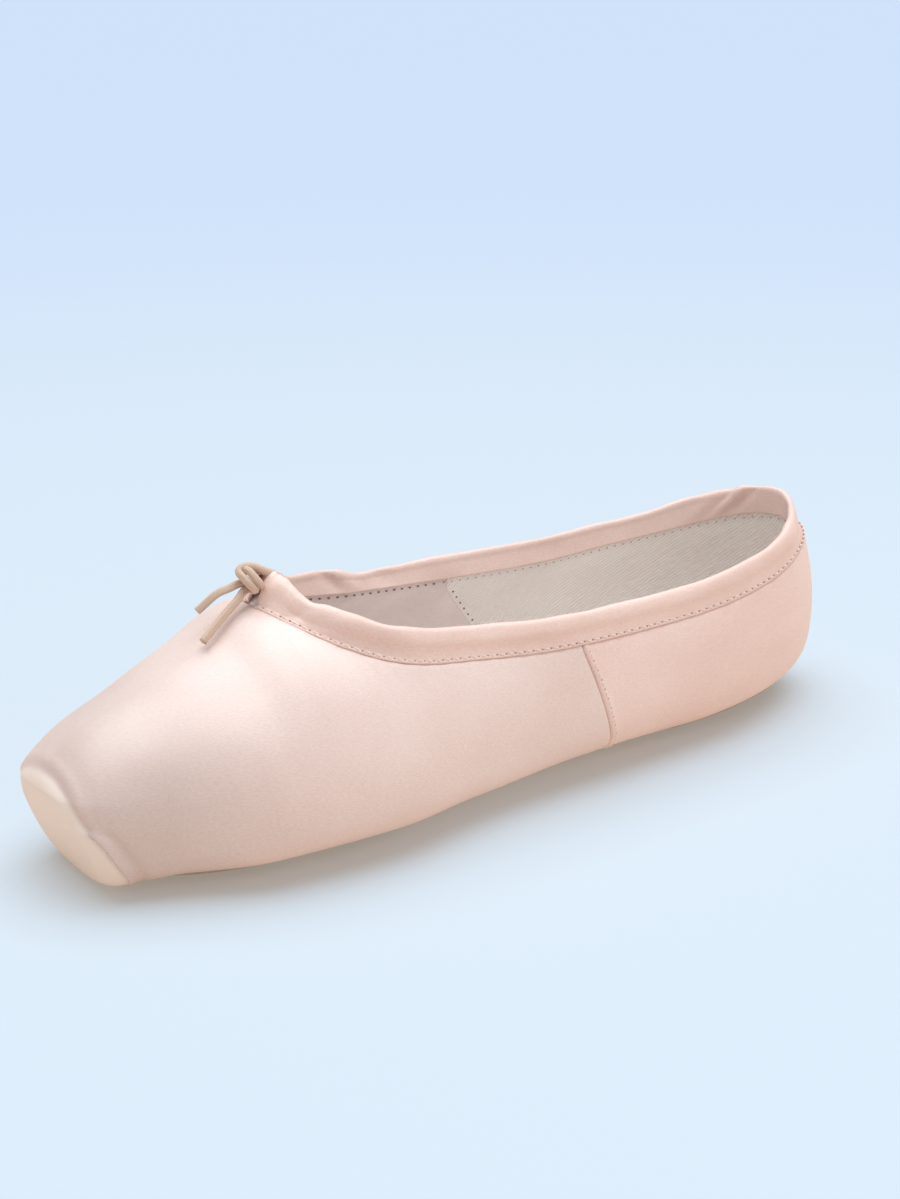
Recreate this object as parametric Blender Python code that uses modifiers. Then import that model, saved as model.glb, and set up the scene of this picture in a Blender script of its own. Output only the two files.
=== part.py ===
"""A satin pointe shoe: a hollow lasted upper, a drawstring casing round its collar,
a leather outsole, an insole and the knotted drawstring.

Metres, +Z up. The toe points to -Y, the floor is Z = 0, and the origin lies on the floor
at the middle of the shoe's length. The last is straight, so both halves are the same.
"""
from collections import namedtuple
from math import acos, asin, cos, pi, radians, sin, sqrt

import bmesh
import bpy
import numpy as np
from mathutils import Vector

# Driving sizes of the last.
LENGTH = 0.235
BALL_WIDTH = 0.0784
WAIST_WIDTH = 0.0666
HEEL_WIDTH = 0.0643
HEEL_ROUND = 0.0655
PLATFORM_WIDTH = 0.0353
PLATFORM_HEIGHT = 0.0288
PLATFORM_SETBACK = 0.0094
PLATFORM_EDGE = 0.0041
SETBACK_LENGTH = 0.045
TOE_CLEARANCE = 0.0008
ARCH_RISE = 0.0015

# Driving sizes of the vamp and the collar.
VAMP_LENGTH = 0.0572
THROAT_HEIGHT = 0.0565
THROAT_ROUND = 0.0408
SIDE_HEIGHT = 0.0387
HEEL_HEIGHT = 0.0465

# Walls, layers and clearances.
BOX_WALL = 0.0026
BOX_LENGTH = 0.036
QUARTER_WALL = 0.0016
CLEARANCE = 0.0003
CASING_WIDTH = 0.0088
CASING_WALL = 0.0008
CASING_PROUD = 0.0003
CASING_LIP = 0.0010
CASING_FRONT_GAP = 0.0030
SOLE_WALL = 0.0020
SOLE_EDGE = 0.0011
SOLE_FRONT = 0.0150
SOLE_FRONT_ROUND = 0.0180
SOLE_LAP = 0.0055
SOLE_SKIVE = 0.0080
INSOLE_WALL = 0.0015
INSOLE_FRONT = 0.0170
INSOLE_FRONT_ROUND = 0.0220

# Drawstring.
CORD_DIAMETER = 0.0019
KNOT_WIDTH = 0.0064
KNOT_DEPTH = 0.0056
KNOT_HEIGHT = 0.0078
KNOT_AHEAD = 0.0050
KNOT_RISE = 0.0009

# Where the casing meets the upper, below its stitch line.
STEP_START = 0.0026
STEP_END = CASING_LIP + CLEARANCE
STEP_DEPTH = CASING_WALL + CLEARANCE - CASING_PROUD

HEEL_START = LENGTH - HEEL_ROUND
SOLE_HEIGHT = SOLE_WALL + CLEARANCE
FOLD_RADIUS = QUARTER_WALL / 2 + CLEARANCE + CASING_WALL / 2

# Share of each named width in the plan, by share of the way from the toe to the heel's round.
Plan = namedtuple("Plan", "station platform ball waist heel")
PLAN = (
    Plan(0.000, 1.00, 0.00, 0.00, 0.00),
    Plan(0.118, 0.63, 0.37, 0.00, 0.00),
    Plan(0.266, 0.12, 0.88, 0.00, 0.00),
    Plan(0.443, 0.00, 1.00, 0.00, 0.00),
    Plan(0.590, 0.00, 0.34, 0.66, 0.00),
    Plan(0.797, 0.00, 0.00, 1.00, 0.00),
    Plan(1.000, 0.00, 0.00, 0.00, 1.00),
)

# Crown of the closed vamp: share of the rise from the platform to the throat.
Vamp = namedtuple("Vamp", "station rise")
VAMP = (
    Vamp(0.00, 0.00),
    Vamp(0.21, 0.29),
    Vamp(0.49, 0.50),
    Vamp(0.79, 0.77),
    Vamp(0.92, 0.94),
    Vamp(1.00, 1.00),
)

# Form of a section: height of its widest point as a share of the side's height, and how
# square its upper and lower quarters are, by share of the shoe's length.
Form = namedtuple("Form", "station widest top_power bottom_power")
FORM = (
    Form(0.00, 0.29, 2.24, 2.55),
    Form(0.13, 0.39, 1.98, 2.87),
    Form(0.20, 0.44, 1.86, 2.87),
    Form(0.42, 0.47, 1.86, 2.87),
    Form(0.68, 0.54, 1.86, 2.87),
    Form(0.85, 0.57, 1.86, 2.87),
    Form(1.00, 0.63, 1.86, 2.87),
)

# Bottom line of the last: share of the sole's height and of the arch, by share of the length.
Bottom = namedtuple("Bottom", "station sole arch")
BOTTOM = (
    Bottom(0.00, 0.0, 0.0),
    Bottom(0.02, 0.0, 0.0),
    Bottom(0.06, 0.6, 0.0),
    Bottom(0.10, 1.0, 0.0),
    Bottom(0.42, 1.0, 0.0),
    Bottom(0.60, 1.0, 1.0),
    Bottom(0.77, 1.0, 0.0),
    Bottom(1.00, 1.0, 0.0),
)

# Collar stitch line: its share of the half width, and its height as shares of the throat's
# and the heel's rise over the side, by share of the collar's length.
Collar = namedtuple("Collar", "station opening throat heel")
COLLAR = (
    Collar(0.00, 0.70, 1.00, 0.00),
    Collar(0.07, 0.74, 0.61, 0.00),
    Collar(0.13, 0.75, 0.39, 0.00),
    Collar(0.20, 0.76, 0.25, 0.00),
    Collar(0.42, 0.89, 0.05, 0.00),
    Collar(0.62, 0.88, 0.00, 0.00),
    Collar(0.81, 0.88, 0.00, 0.25),
    Collar(1.00, 0.88, 0.00, 1.00),
)

# Band above the stitch line: how far it leans in, in degrees, and its share of the casing's
# width, by share of the collar's length.
Band = namedtuple("Band", "station lean width")
BAND = (
    Band(0.00, 36.0, 1.00),
    Band(0.04, 30.0, 0.90),
    Band(0.14, 17.0, 0.84),
    Band(0.60, 16.5, 0.84),
    Band(0.85, 14.2, 0.92),
    Band(1.00, 14.2, 1.00),
)

# Edge of the outsole and of the insole as shares of the last's half width.
Tread = namedtuple("Tread", "station outsole insole")
TREAD = (
    Tread(0.00, 0.62, 0.64),
    Tread(0.17, 0.64, 0.68),
    Tread(0.32, 0.62, 0.74),
    Tread(0.42, 0.56, 0.74),
    Tread(0.57, 0.46, 0.74),
    Tread(0.72, 0.56, 0.76),
    Tread(0.87, 0.68, 0.78),
    Tread(1.00, 0.82, 0.82),
)

# Free ends of the drawstring: points of each route, in metres from the middle of the knot.
Route = namedtuple("Route", "side back up")
LEFT_END = (
    Route(-0.0009, -0.0034, -0.0007),
    Route(-0.0024, -0.0076, -0.0033),
    Route(-0.0040, -0.0118, -0.0070),
)
RIGHT_END = (
    Route(0.0004, -0.0021, -0.0039),
    Route(0.0010, -0.0079, -0.0077),
    Route(0.0022, -0.0141, -0.0121),
)

LOWER_ROWS = 8
UPPER_ROWS = 8
COLLAR_COLUMNS = 26
CONTOUR_SAMPLES = 48
MIDDLE_PLANE = 0.00001

COLLECTION_NAME = "pointe_shoe"

Station = namedtuple("Station", "along turn")
Section = namedtuple("Section", "half_width crown widest bottom top_power bottom_power")
Frame = namedtuple("Frame", "stitch down normal band inward fold")


def read_table(table, column, at):
    """Smooth value of one column, without overshoot between the rows."""
    stations = np.array([row.station for row in table])
    values = np.array([getattr(row, column) for row in table])
    spans = np.diff(stations)
    slopes = np.diff(values) / spans
    tangents = np.concatenate([slopes[:1], (slopes[:-1] + slopes[1:]) / 2, slopes[-1:]])
    for i in range(1, len(stations) - 1):
        before, after = slopes[i - 1], slopes[i]
        if before * after <= 0:
            tangents[i] = 0
            continue
        weight_before = 2 * spans[i] + spans[i - 1]
        weight_after = spans[i] + 2 * spans[i - 1]
        tangents[i] = (weight_before + weight_after) / (weight_before / before + weight_after / after)
    at = min(max(at, stations[0]), stations[-1])
    i = min(int(np.searchsorted(stations, at, side="right")) - 1, len(spans) - 1)
    t = (at - stations[i]) / spans[i]
    rest = 1 - t
    ends = (1 + 2 * t) * rest ** 2 * values[i] + t * t * (3 - 2 * t) * values[i + 1]
    bends = t * rest ** 2 * tangents[i] - t * t * rest * tangents[i + 1]
    return float(ends + bends * spans[i])


def unit(vector):
    return vector / np.linalg.norm(vector)


def round_front(travel, length):
    """Quarter ellipse that opens from 0 to 1 over the given length."""
    share = min(max(travel / length, 0), 1)
    return sqrt(1 - (1 - share) ** 2)


def half_width(along):
    share = min(along / HEEL_START, 1)
    width = PLATFORM_WIDTH * read_table(PLAN, "platform", share)
    width += BALL_WIDTH * read_table(PLAN, "ball", share)
    width += WAIST_WIDTH * read_table(PLAN, "waist", share)
    width += HEEL_WIDTH * read_table(PLAN, "heel", share)
    return width / 2


def bottom_height(reach):
    share = reach / LENGTH
    raised = read_table(BOTTOM, "sole", share)
    return TOE_CLEARANCE + (SOLE_HEIGHT - TOE_CLEARANCE) * raised + ARCH_RISE * read_table(BOTTOM, "arch", share)


def reach_of(station):
    """Distance of the last's outer edge from the toe, along the shoe."""
    return station.along + HEEL_ROUND * cos(station.turn)


def collar_end():
    opening = COLLAR[-1].opening
    return LENGTH - HEEL_WIDTH / 2 * (1 - opening)


def collar_share(along):
    return (along - VAMP_LENGTH) / (collar_end() - VAMP_LENGTH)


def collar_height(along):
    share = collar_share(along)
    throat = (THROAT_HEIGHT - SIDE_HEIGHT) * read_table(COLLAR, "throat", share)
    heel = (HEEL_HEIGHT - SIDE_HEIGHT) * read_table(COLLAR, "heel", share)
    return SIDE_HEIGHT + throat + heel


def collar_opening(along):
    """Share of the half width at which the stitch line crosses a section."""
    opening = read_table(COLLAR, "opening", collar_share(along))
    return opening * round_front(along - VAMP_LENGTH, THROAT_ROUND)


def crown_height(along, widest, power):
    """Top of the section; past the throat, the top that it would have if it were closed."""
    if along <= VAMP_LENGTH:
        rise = read_table(VAMP, "rise", along / VAMP_LENGTH)
        return PLATFORM_HEIGHT + (THROAT_HEIGHT - PLATFORM_HEIGHT) * rise
    share = (1 - collar_opening(along) ** power) ** (1 / power)
    return widest + (collar_height(along) - widest) / share


def section_at(station):
    along, turn = station
    reach = reach_of(station)
    share = reach / LENGTH
    top_power = read_table(FORM, "top_power", share)
    bottom = bottom_height(reach)
    collar_along = along + (collar_end() - HEEL_START) * cos(turn)
    widest = SIDE_HEIGHT * read_table(FORM, "widest", share)
    crown = crown_height(collar_along, widest, top_power)
    edge = min(along, PLATFORM_EDGE)
    inset = PLATFORM_EDGE - sqrt(PLATFORM_EDGE ** 2 - (PLATFORM_EDGE - edge) ** 2)
    bottom_power = read_table(FORM, "bottom_power", share)
    return Section(half_width(along) - inset, crown - inset, widest, bottom + inset / 2, top_power, bottom_power)


def place(station, across, height):
    """Point of the shoe for a place in a section; round the heel the sections fan out."""
    along, turn = station
    upright = 1 - (height - TOE_CLEARANCE) / (PLATFORM_HEIGHT - PLATFORM_EDGE - TOE_CLEARANCE)
    setback = PLATFORM_SETBACK * max(0, upright) * max(0, 1 - along / SETBACK_LENGTH) ** 1.5
    reach = along + setback
    if turn < pi / 2:
        reach = HEEL_START + (HEEL_ROUND - (HEEL_WIDTH / 2 - across)) * cos(turn)
    return np.array([across * sin(turn), reach - LENGTH / 2, height])


def surface(station, angle):
    """Outer surface of the last: angle -90 degrees is the bottom's middle, 90 the crown."""
    form = section_at(station)
    side, lift = max(cos(angle), 0), abs(sin(angle))
    if angle > 0:
        across = form.half_width * side ** (2 / form.top_power)
        height = form.widest + (form.crown - form.widest) * lift ** (2 / form.top_power)
    else:
        across = form.half_width * side ** (2 / form.bottom_power)
        height = form.widest - (form.widest - form.bottom) * lift ** (2 / form.bottom_power)
    return place(station, across, height)


def under_angle(station, across):
    form = section_at(station)
    share = min(across / form.half_width, 1)
    return -acos(share ** (form.bottom_power / 2))


def surface_normal(station, angle):
    """Outward normal of the last, from a short step up the section and one towards the toe."""
    step = 0.02
    high = surface(station, min(angle + step / 2, pi / 2))
    upward = high - surface(station, max(angle - step / 2, -pi / 2))
    if station.turn < pi / 2:
        ahead = Station(station.along, min(station.turn + step, pi / 2))
    else:
        ahead = Station(max(station.along - LENGTH * 0.004, 0), station.turn)
    here = surface(station, angle)
    normal = np.cross(here - surface(ahead, angle), upward)
    if here[0] < MIDDLE_PLANE:
        normal[0] = 0
    return unit(normal)


def collar_station(angle):
    """Station and section angle of the stitch line; 0 is the throat, 180 degrees the heel."""
    middle = (VAMP_LENGTH + collar_end()) / 2
    along = middle - (collar_end() - VAMP_LENGTH) / 2 * cos(angle)
    station = Station(min(along, HEEL_START), pi / 2)
    if along > HEEL_START:
        share = (along - HEEL_START) / (collar_end() - HEEL_START)
        station = Station(HEEL_START, acos(min(share, 1)))
    power = section_at(station).top_power
    return station, acos(min(collar_opening(along) ** (power / 2), 1)), collar_share(along)


def collar_point(angle):
    mirrored = -1 if angle < 0 or angle > pi else 1
    inside = abs(angle) if angle <= pi else 2 * pi - angle
    station, rise, _ = collar_station(inside)
    return surface(station, rise) * np.array([mirrored, 1, 1])


def collar_frame(angle):
    """Stitch line, the ways down the upper and out of it, and the band that rises to the fold."""
    station, rise, share = collar_station(angle)
    stitch = collar_point(angle)
    step = 0.01
    run = unit(collar_point(angle + step) - collar_point(angle - step))
    normal = surface_normal(station, rise)
    down = unit(np.cross(run, normal))
    inward = unit(np.array([-run[1], run[0], 0]))
    lean = radians(read_table(BAND, "lean", share))
    rising = inward * sin(lean) + np.array([0, 0, 1]) * cos(lean)
    fold = stitch + rising * CASING_WIDTH * read_table(BAND, "width", share)
    band = unit(fold - stitch)
    across = unit(inward - band * np.dot(inward, band))
    centre = fold - band * (FOLD_RADIUS + CASING_WALL / 2)
    return Frame(stitch, down, normal, band, across, centre)


def collar_angles():
    """Angles of the collar's columns, with one where each end of the casing stops."""
    middle = collar_opening(VAMP_LENGTH + THROAT_ROUND) * half_width(VAMP_LENGTH)
    span = (collar_end() - VAMP_LENGTH) / 2
    share = CASING_FRONT_GAP / 2 / middle
    front = acos(1 - THROAT_ROUND * (1 - sqrt(1 - share ** 2)) / span)
    return [0, front] + list(np.linspace(2.4 * front, pi, COLLAR_COLUMNS))


def tread_half(station, column, front, front_round, square):
    """Half width of a sole piece at a station, with a blunt round front."""
    edge = read_table(TREAD, column, reach_of(station) / LENGTH) * half_width(station.along)
    return edge * (square + (1 - square) * round_front(station.along - front, front_round))


def opening_half(station):
    """Half width of the gap that the turned margin leaves under the foot."""
    full = tread_half(station, "outsole", SOLE_FRONT, SOLE_FRONT_ROUND, 1) - SOLE_LAP
    return full * round_front(station.along - SOLE_FRONT - SOLE_LAP, SOLE_FRONT_ROUND)


def spread_angles(station, first_angle, last_angle, shares):
    """Angles of a section at shares of the distance between two of its angles."""
    angles = np.linspace(first_angle, last_angle, CONTOUR_SAMPLES)
    samples = np.array([surface(station, angle) for angle in angles])
    travel = np.concatenate([[0], np.cumsum(np.linalg.norm(np.diff(samples, axis=0), axis=1))])
    return np.interp(shares * travel[-1], travel, angles)


def section_row(station, last_angle, foot):
    """Points up the outer surface from the bottom, or its gap, and the wall at each."""
    first_angle = -pi / 2
    if foot.along > SOLE_FRONT + SOLE_LAP:
        first_angle = under_angle(foot, opening_half(foot))
    lower_shares = 1 - (1 - np.linspace(0, 1, LOWER_ROWS)) ** 1.25
    upper_shares = np.linspace(0, 1, UPPER_ROWS)[1:]
    points = [surface(foot, angle) for angle in spread_angles(foot, first_angle, 0, lower_shares)]
    walls = [wall_at(foot.along)] * LOWER_ROWS
    for share, angle in zip(upper_shares, spread_angles(station, 0, last_angle, upper_shares)):
        along = foot.along + (station.along - foot.along) * share
        points.append(surface(Station(along, station.turn), angle))
        walls.append(wall_at(along))
    return np.array(points), walls


def wall_at(along):
    share = min(max((along - BOX_LENGTH) / (VAMP_LENGTH - BOX_LENGTH), 0), 1)
    return BOX_WALL + (QUARTER_WALL - BOX_WALL) * share * share * (3 - 2 * share)


def vamp_stops(last):
    """Stations of the closed front: the platform's rounded edge, the box and the vamp."""
    hole = SOLE_FRONT + SOLE_LAP
    edge = [PLATFORM_EDGE * share for share in (0, 0.08, 0.3, 0.62, 1)]
    box = list(np.linspace(PLATFORM_EDGE, hole, 5))[1:]
    round_part = [hole + SOLE_FRONT_ROUND * (1 - cos(k * pi / 10)) for k in range(1, 6)]
    vamp = list(np.linspace(round_part[-1], last, 5))[1:-1]
    return edge + box + round_part + vamp


def platform_rings(rim):
    """Rings that close the flat of the platform, from its middle outwards."""
    middle = (rim[0] + rim[-1]) / 2
    rings = []
    for share in (0.35, 0.7):
        rings.append(middle + (rim - middle) * share)
    return middle, rings


def collar_start(frame, station):
    """Section angle at which the plain surface stops, just below the casing's step."""
    point = frame.stitch + frame.down * STEP_START
    along = min(point[1] + LENGTH / 2, HEEL_START)
    if station.turn < pi / 2:
        form = section_at(station)
        share = (point[2] - form.widest) / (form.crown - form.widest)
        return station, asin(min(share, 1) ** (form.top_power / 2))
    start = Station(along, pi / 2)
    form = section_at(start)
    share = max(point[0], 0) / form.half_width
    return start, acos(min(share, 1) ** (form.top_power / 2))


def foot_station(station, angle, throat):
    """Station of a collar column at the feather edge, more evenly spaced than at the collar."""
    middle = (VAMP_LENGTH + collar_end()) / 2
    heel_angle = acos((middle - HEEL_START) / (middle - VAMP_LENGTH))
    even = throat + (HEEL_START - throat) * min(angle / heel_angle, 1)
    return Station((station.along + even) / 2, station.turn)


def crease_outward(frame):
    """Way out of the crease at the stitch line, for a depth measured square to both sides."""
    return (frame.normal - frame.inward) / (1 - np.dot(frame.normal, frame.inward))


def upper_columns():
    """Columns of points from the platform to the heel, each with its wall thickness."""
    angles = collar_angles()
    frames = [collar_frame(a) for a in angles]
    starts = [collar_start(f, collar_station(a)[0]) for f, a in zip(frames, angles)]
    throat = starts[0][0].along
    columns = []
    walls = []
    for stop in vamp_stops(throat):
        station = Station(stop, pi / 2)
        row, row_walls = section_row(station, pi / 2, station)
        columns.append(row)
        walls.append(row_walls)
    for collar_angle, frame, (station, angle) in zip(angles, frames, starts):
        row, row_walls = section_row(station, angle, foot_station(station, collar_angle, throat))
        row[-1] = frame.stitch + frame.down * STEP_START
        outward = crease_outward(frame)
        step = frame.stitch + frame.down * STEP_END - frame.normal * STEP_DEPTH
        seat = frame.stitch - outward * STEP_DEPTH
        top = frame.fold - frame.inward * QUARTER_WALL / 2
        columns.append(np.vstack([row, step, seat, top]))
        walls.append(row_walls[:-1] + [QUARTER_WALL] * 4)
    return columns, walls


def grid_faces(first, second):
    """Quads between two columns of point numbers, over the rows that both have."""
    rows = min(len(first), len(second))
    return [(first[j], second[j], second[j + 1], first[j + 1]) for j in range(rows - 1)]


def new_object(name, points, faces, finish):
    mesh = bpy.data.meshes.new(name)
    mesh.from_pydata([tuple(p) for p in points], [], faces)
    mesh.materials.append(finish)
    mesh.shade_smooth()
    made = bpy.data.objects.new(name, mesh)
    bpy.data.collections[COLLECTION_NAME].objects.link(made)
    return made


def add_mirror(made):
    mirror = made.modifiers.new("halves", "MIRROR")
    mirror.use_axis = (True, False, False)
    mirror.merge_threshold = 0.00005


def flatten_middle(points):
    """Points on the shoe's middle plane lie exactly on it."""
    points = np.array(points)
    points[np.abs(points[:, 0]) < MIDDLE_PLANE, 0] = 0
    return points


def material(name, colour, roughness):
    finish = bpy.data.materials.new(name)
    finish.use_nodes = True
    shader = finish.node_tree.nodes["Principled BSDF"]
    shader.inputs["Base Color"].default_value = (*colour, 1)
    shader.inputs["Roughness"].default_value = roughness
    shader.inputs["Metallic"].default_value = 0
    return finish


def make_upper(finish):
    """Hollow upper: the outer surface thickened inwards, open at the collar and underneath."""
    columns, walls = upper_columns()
    middle, rings = platform_rings(columns[0])
    points = [middle]
    thickness = [BOX_WALL]
    numbers = []
    for ring in rings:
        numbers.append(list(range(len(points), len(points) + len(ring))))
        points += list(ring)
        thickness += [BOX_WALL] * len(ring)
    for column, wall in zip(columns, walls):
        numbers.append(list(range(len(points), len(points) + len(column))))
        points += list(column)
        thickness += wall
    inner = numbers[0]
    faces = [(0, inner[j], inner[j + 1]) for j in range(len(inner) - 1)]
    for first, second in zip(numbers, numbers[1:]):
        faces += grid_faces(first, second)
    made = new_object("upper", flatten_middle(points), faces, finish)
    group = made.vertex_groups.new(name="wall")
    for index, value in enumerate(thickness):
        group.add([index], value / BOX_WALL, "REPLACE")
    add_mirror(made)
    shell = made.modifiers.new("wall", "SOLIDIFY")
    shell.thickness = BOX_WALL
    shell.offset = -1
    shell.vertex_group = group.name
    shell.use_even_offset = True
    shell.use_quality_normals = True
    return made


def make_casing(finish):
    """Casing of the drawstring: a strip folded over the collar, open at the front."""
    numbers = []
    points = []
    rest = CASING_PROUD - CASING_WALL / 2
    inner = QUARTER_WALL + CLEARANCE + CASING_WALL / 2
    turns = [k * pi / 4 for k in range(5)]
    for angle in collar_angles()[1:]:
        frame = collar_frame(angle)
        outward = crease_outward(frame)
        path = [frame.stitch + frame.down * CASING_LIP + frame.normal * rest]
        path.append(frame.stitch + outward * rest)
        for turn in turns:
            path.append(frame.fold + (frame.band * sin(turn) - frame.inward * cos(turn)) * FOLD_RADIUS)
        path.append(frame.stitch + frame.inward * (STEP_DEPTH + inner))
        numbers.append(list(range(len(points), len(points) + len(path))))
        points += path
    faces = []
    for first, second in zip(numbers, numbers[1:]):
        faces += grid_faces(first, second)
    made = new_object("drawstring_casing", flatten_middle(points), faces, finish)
    add_mirror(made)
    shell = made.modifiers.new("wall", "SOLIDIFY")
    shell.thickness = CASING_WALL
    shell.offset = 0
    shell.use_even_offset = True
    shell.use_quality_normals = True
    return made


def tread_stations(front, front_round):
    """Stations of a sole piece: its round front, its length and the fan round the heel."""
    turns = [k * pi / 10 for k in range(6)]
    stops = [front + front_round * (1 - cos(a)) for a in turns]
    stops += list(np.linspace(stops[-1], HEEL_START, 11))[1:]
    fan = [k * pi / 18 for k in range(8, -1, -1)]
    return [Station(stop, pi / 2) for stop in stops] + [Station(HEEL_START, turn) for turn in fan]


def make_outsole(finish):
    """Leather outsole: its top follows the upper, its bottom is flat and skived at the edge."""
    shares = (0, 0.25, 0.5, 0.76, 0.92, 1)
    top_numbers, under_numbers, points = [], [], []
    for station in tread_stations(SOLE_FRONT, SOLE_FRONT_ROUND):
        half = tread_half(station, "outsole", SOLE_FRONT, SOLE_FRONT_ROUND, 0.5)
        floor = max(bottom_height(reach_of(station)) - SOLE_HEIGHT, 0)
        ramp = round_front(station.along - SOLE_FRONT, SOLE_SKIVE)
        tops, unders = [], []
        for share in shares:
            angle = under_angle(station, share * half)
            top = surface(station, angle) + surface_normal(station, angle) * CLEARANCE
            skive = max(0, (share - shares[2]) / (1 - shares[2])) ** 2
            body = SOLE_EDGE + (SOLE_WALL - SOLE_EDGE) * ramp * (1 - skive)
            under = top.copy()
            under[2] = max(top[2] - body, floor)
            if share <= shares[2] and ramp == 1:
                under[2] = floor
            tops.append(top)
            unders.append(under)
        top_numbers.append(list(range(len(points), len(points) + len(shares))))
        points += tops
        under_numbers.append(list(range(len(points), len(points) + len(shares))))
        points += unders
    faces = []
    for i in range(len(top_numbers) - 1):
        faces += [face[::-1] for face in grid_faces(top_numbers[i], top_numbers[i + 1])]
        faces += grid_faces(under_numbers[i], under_numbers[i + 1])
        edge = (top_numbers[i][-1], under_numbers[i][-1], under_numbers[i + 1][-1], top_numbers[i + 1][-1])
        faces.append(edge)
    for j in range(len(shares) - 1):
        top, under = top_numbers[0], under_numbers[0]
        faces.append((top[j], under[j], under[j + 1], top[j + 1]))
    made = new_object("outsole", flatten_middle(points), faces, finish)
    add_mirror(made)
    return made


def make_insole(finish):
    """Insole: a sheet on the inside of the bottom, over the turned margin."""
    shares = (0, 0.3, 0.6, 0.85, 1)
    numbers, points = [], []
    for station in tread_stations(INSOLE_FRONT, INSOLE_FRONT_ROUND):
        half = tread_half(station, "insole", INSOLE_FRONT, INSOLE_FRONT_ROUND, 0.5)
        lift = wall_at(station.along) + CLEARANCE
        row = []
        for share in shares:
            angle = under_angle(station, share * half)
            row.append(surface(station, angle) - surface_normal(station, angle) * lift)
        numbers.append(list(range(len(points), len(points) + len(shares))))
        points += row
    faces = []
    for first, second in zip(numbers, numbers[1:]):
        faces += grid_faces(first, second)
    made = new_object("insole", flatten_middle(points), faces, finish)
    add_mirror(made)
    shell = made.modifiers.new("sheet", "SOLIDIFY")
    shell.thickness = INSOLE_WALL
    shell.offset = -1
    shell.use_even_offset = True
    return made


def knot_middle():
    fold = collar_frame(0).fold
    return np.array([0, fold[1] - KNOT_AHEAD, fold[2] + KNOT_RISE])


def make_knot(finish):
    """Pulled-tight knot that closes the drawstring in front of the casing's ends."""
    ball = bmesh.new()
    bmesh.ops.create_uvsphere(ball, u_segments=16, v_segments=10, radius=0.5)
    mesh = bpy.data.meshes.new("drawstring_knot")
    bmesh.ops.scale(ball, vec=(KNOT_WIDTH, KNOT_DEPTH, KNOT_HEIGHT), verts=ball.verts)
    bmesh.ops.translate(ball, vec=Vector(knot_middle()), verts=ball.verts)
    ball.to_mesh(mesh)
    ball.free()
    mesh.materials.append(finish)
    mesh.shade_smooth()
    made = bpy.data.objects.new("drawstring_knot", mesh)
    bpy.data.collections[COLLECTION_NAME].objects.link(made)
    return made


def smooth_route(points, spacing):
    """Evenly spaced points of a smooth curve through a route's own points."""
    points = np.array(points)
    before = np.vstack([2 * points[0] - points[1], points, 2 * points[-1] - points[-2]])
    fine = []
    for i in range(1, len(before) - 2):
        p0, p1, p2, p3 = before[i - 1:i + 3]
        for t in np.linspace(0, 1, 12, endpoint=False):
            bend = (2 * p0 - 5 * p1 + 4 * p2 - p3) * t * t + (3 * p1 - p0 - 3 * p2 + p3) * t ** 3
            fine.append((2 * p1 + (p2 - p0) * t + bend) / 2)
    fine.append(points[-1])
    fine = np.array(fine)
    travel = np.concatenate([[0], np.cumsum(np.linalg.norm(np.diff(fine, axis=0), axis=1))])
    wanted = np.linspace(0, travel[-1], max(3, int(round(travel[-1] / spacing)) + 1))
    return np.stack([np.interp(wanted, travel, fine[:, k]) for k in range(3)], axis=1)


def make_cord_end(name, route, finish):
    """Free end of the drawstring, from the knot to its cut tip."""
    middle = knot_middle()
    points = smooth_route([middle + np.array(stop) for stop in route], 2 * CORD_DIAMETER)
    curve = bpy.data.curves.new(name, "CURVE")
    curve.dimensions = "3D"
    curve.bevel_depth = CORD_DIAMETER / 2
    curve.bevel_resolution = 2
    curve.use_fill_caps = True
    spline = curve.splines.new("POLY")
    spline.points.add(len(points) - 1)
    for stop, point in zip(spline.points, points):
        stop.co = (*point, 1)
    curve.materials.append(finish)
    made = bpy.data.objects.new(name, curve)
    bpy.data.collections[COLLECTION_NAME].objects.link(made)
    return made


def main():
    for old in list(bpy.data.objects):
        bpy.data.objects.remove(old)
    collection = bpy.data.collections.new(COLLECTION_NAME)
    bpy.context.scene.collection.children.link(collection)
    satin = material("pink_satin", (0.83, 0.62, 0.56), 0.45)
    casing_satin = material("casing_satin", (0.80, 0.56, 0.50), 0.45)
    leather = material("sole_leather", (0.42, 0.33, 0.27), 0.7)
    lining = material("lining_cloth", (0.78, 0.73, 0.68), 0.85)
    make_upper(satin)
    make_casing(casing_satin)
    make_outsole(leather)
    make_insole(lining)
    cord = material("braided_cord", (0.72, 0.58, 0.45), 0.8)
    make_knot(cord)
    make_cord_end("drawstring_end_left", LEFT_END, cord)
    make_cord_end("drawstring_end_right", RIGHT_END, cord)


main()
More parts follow.
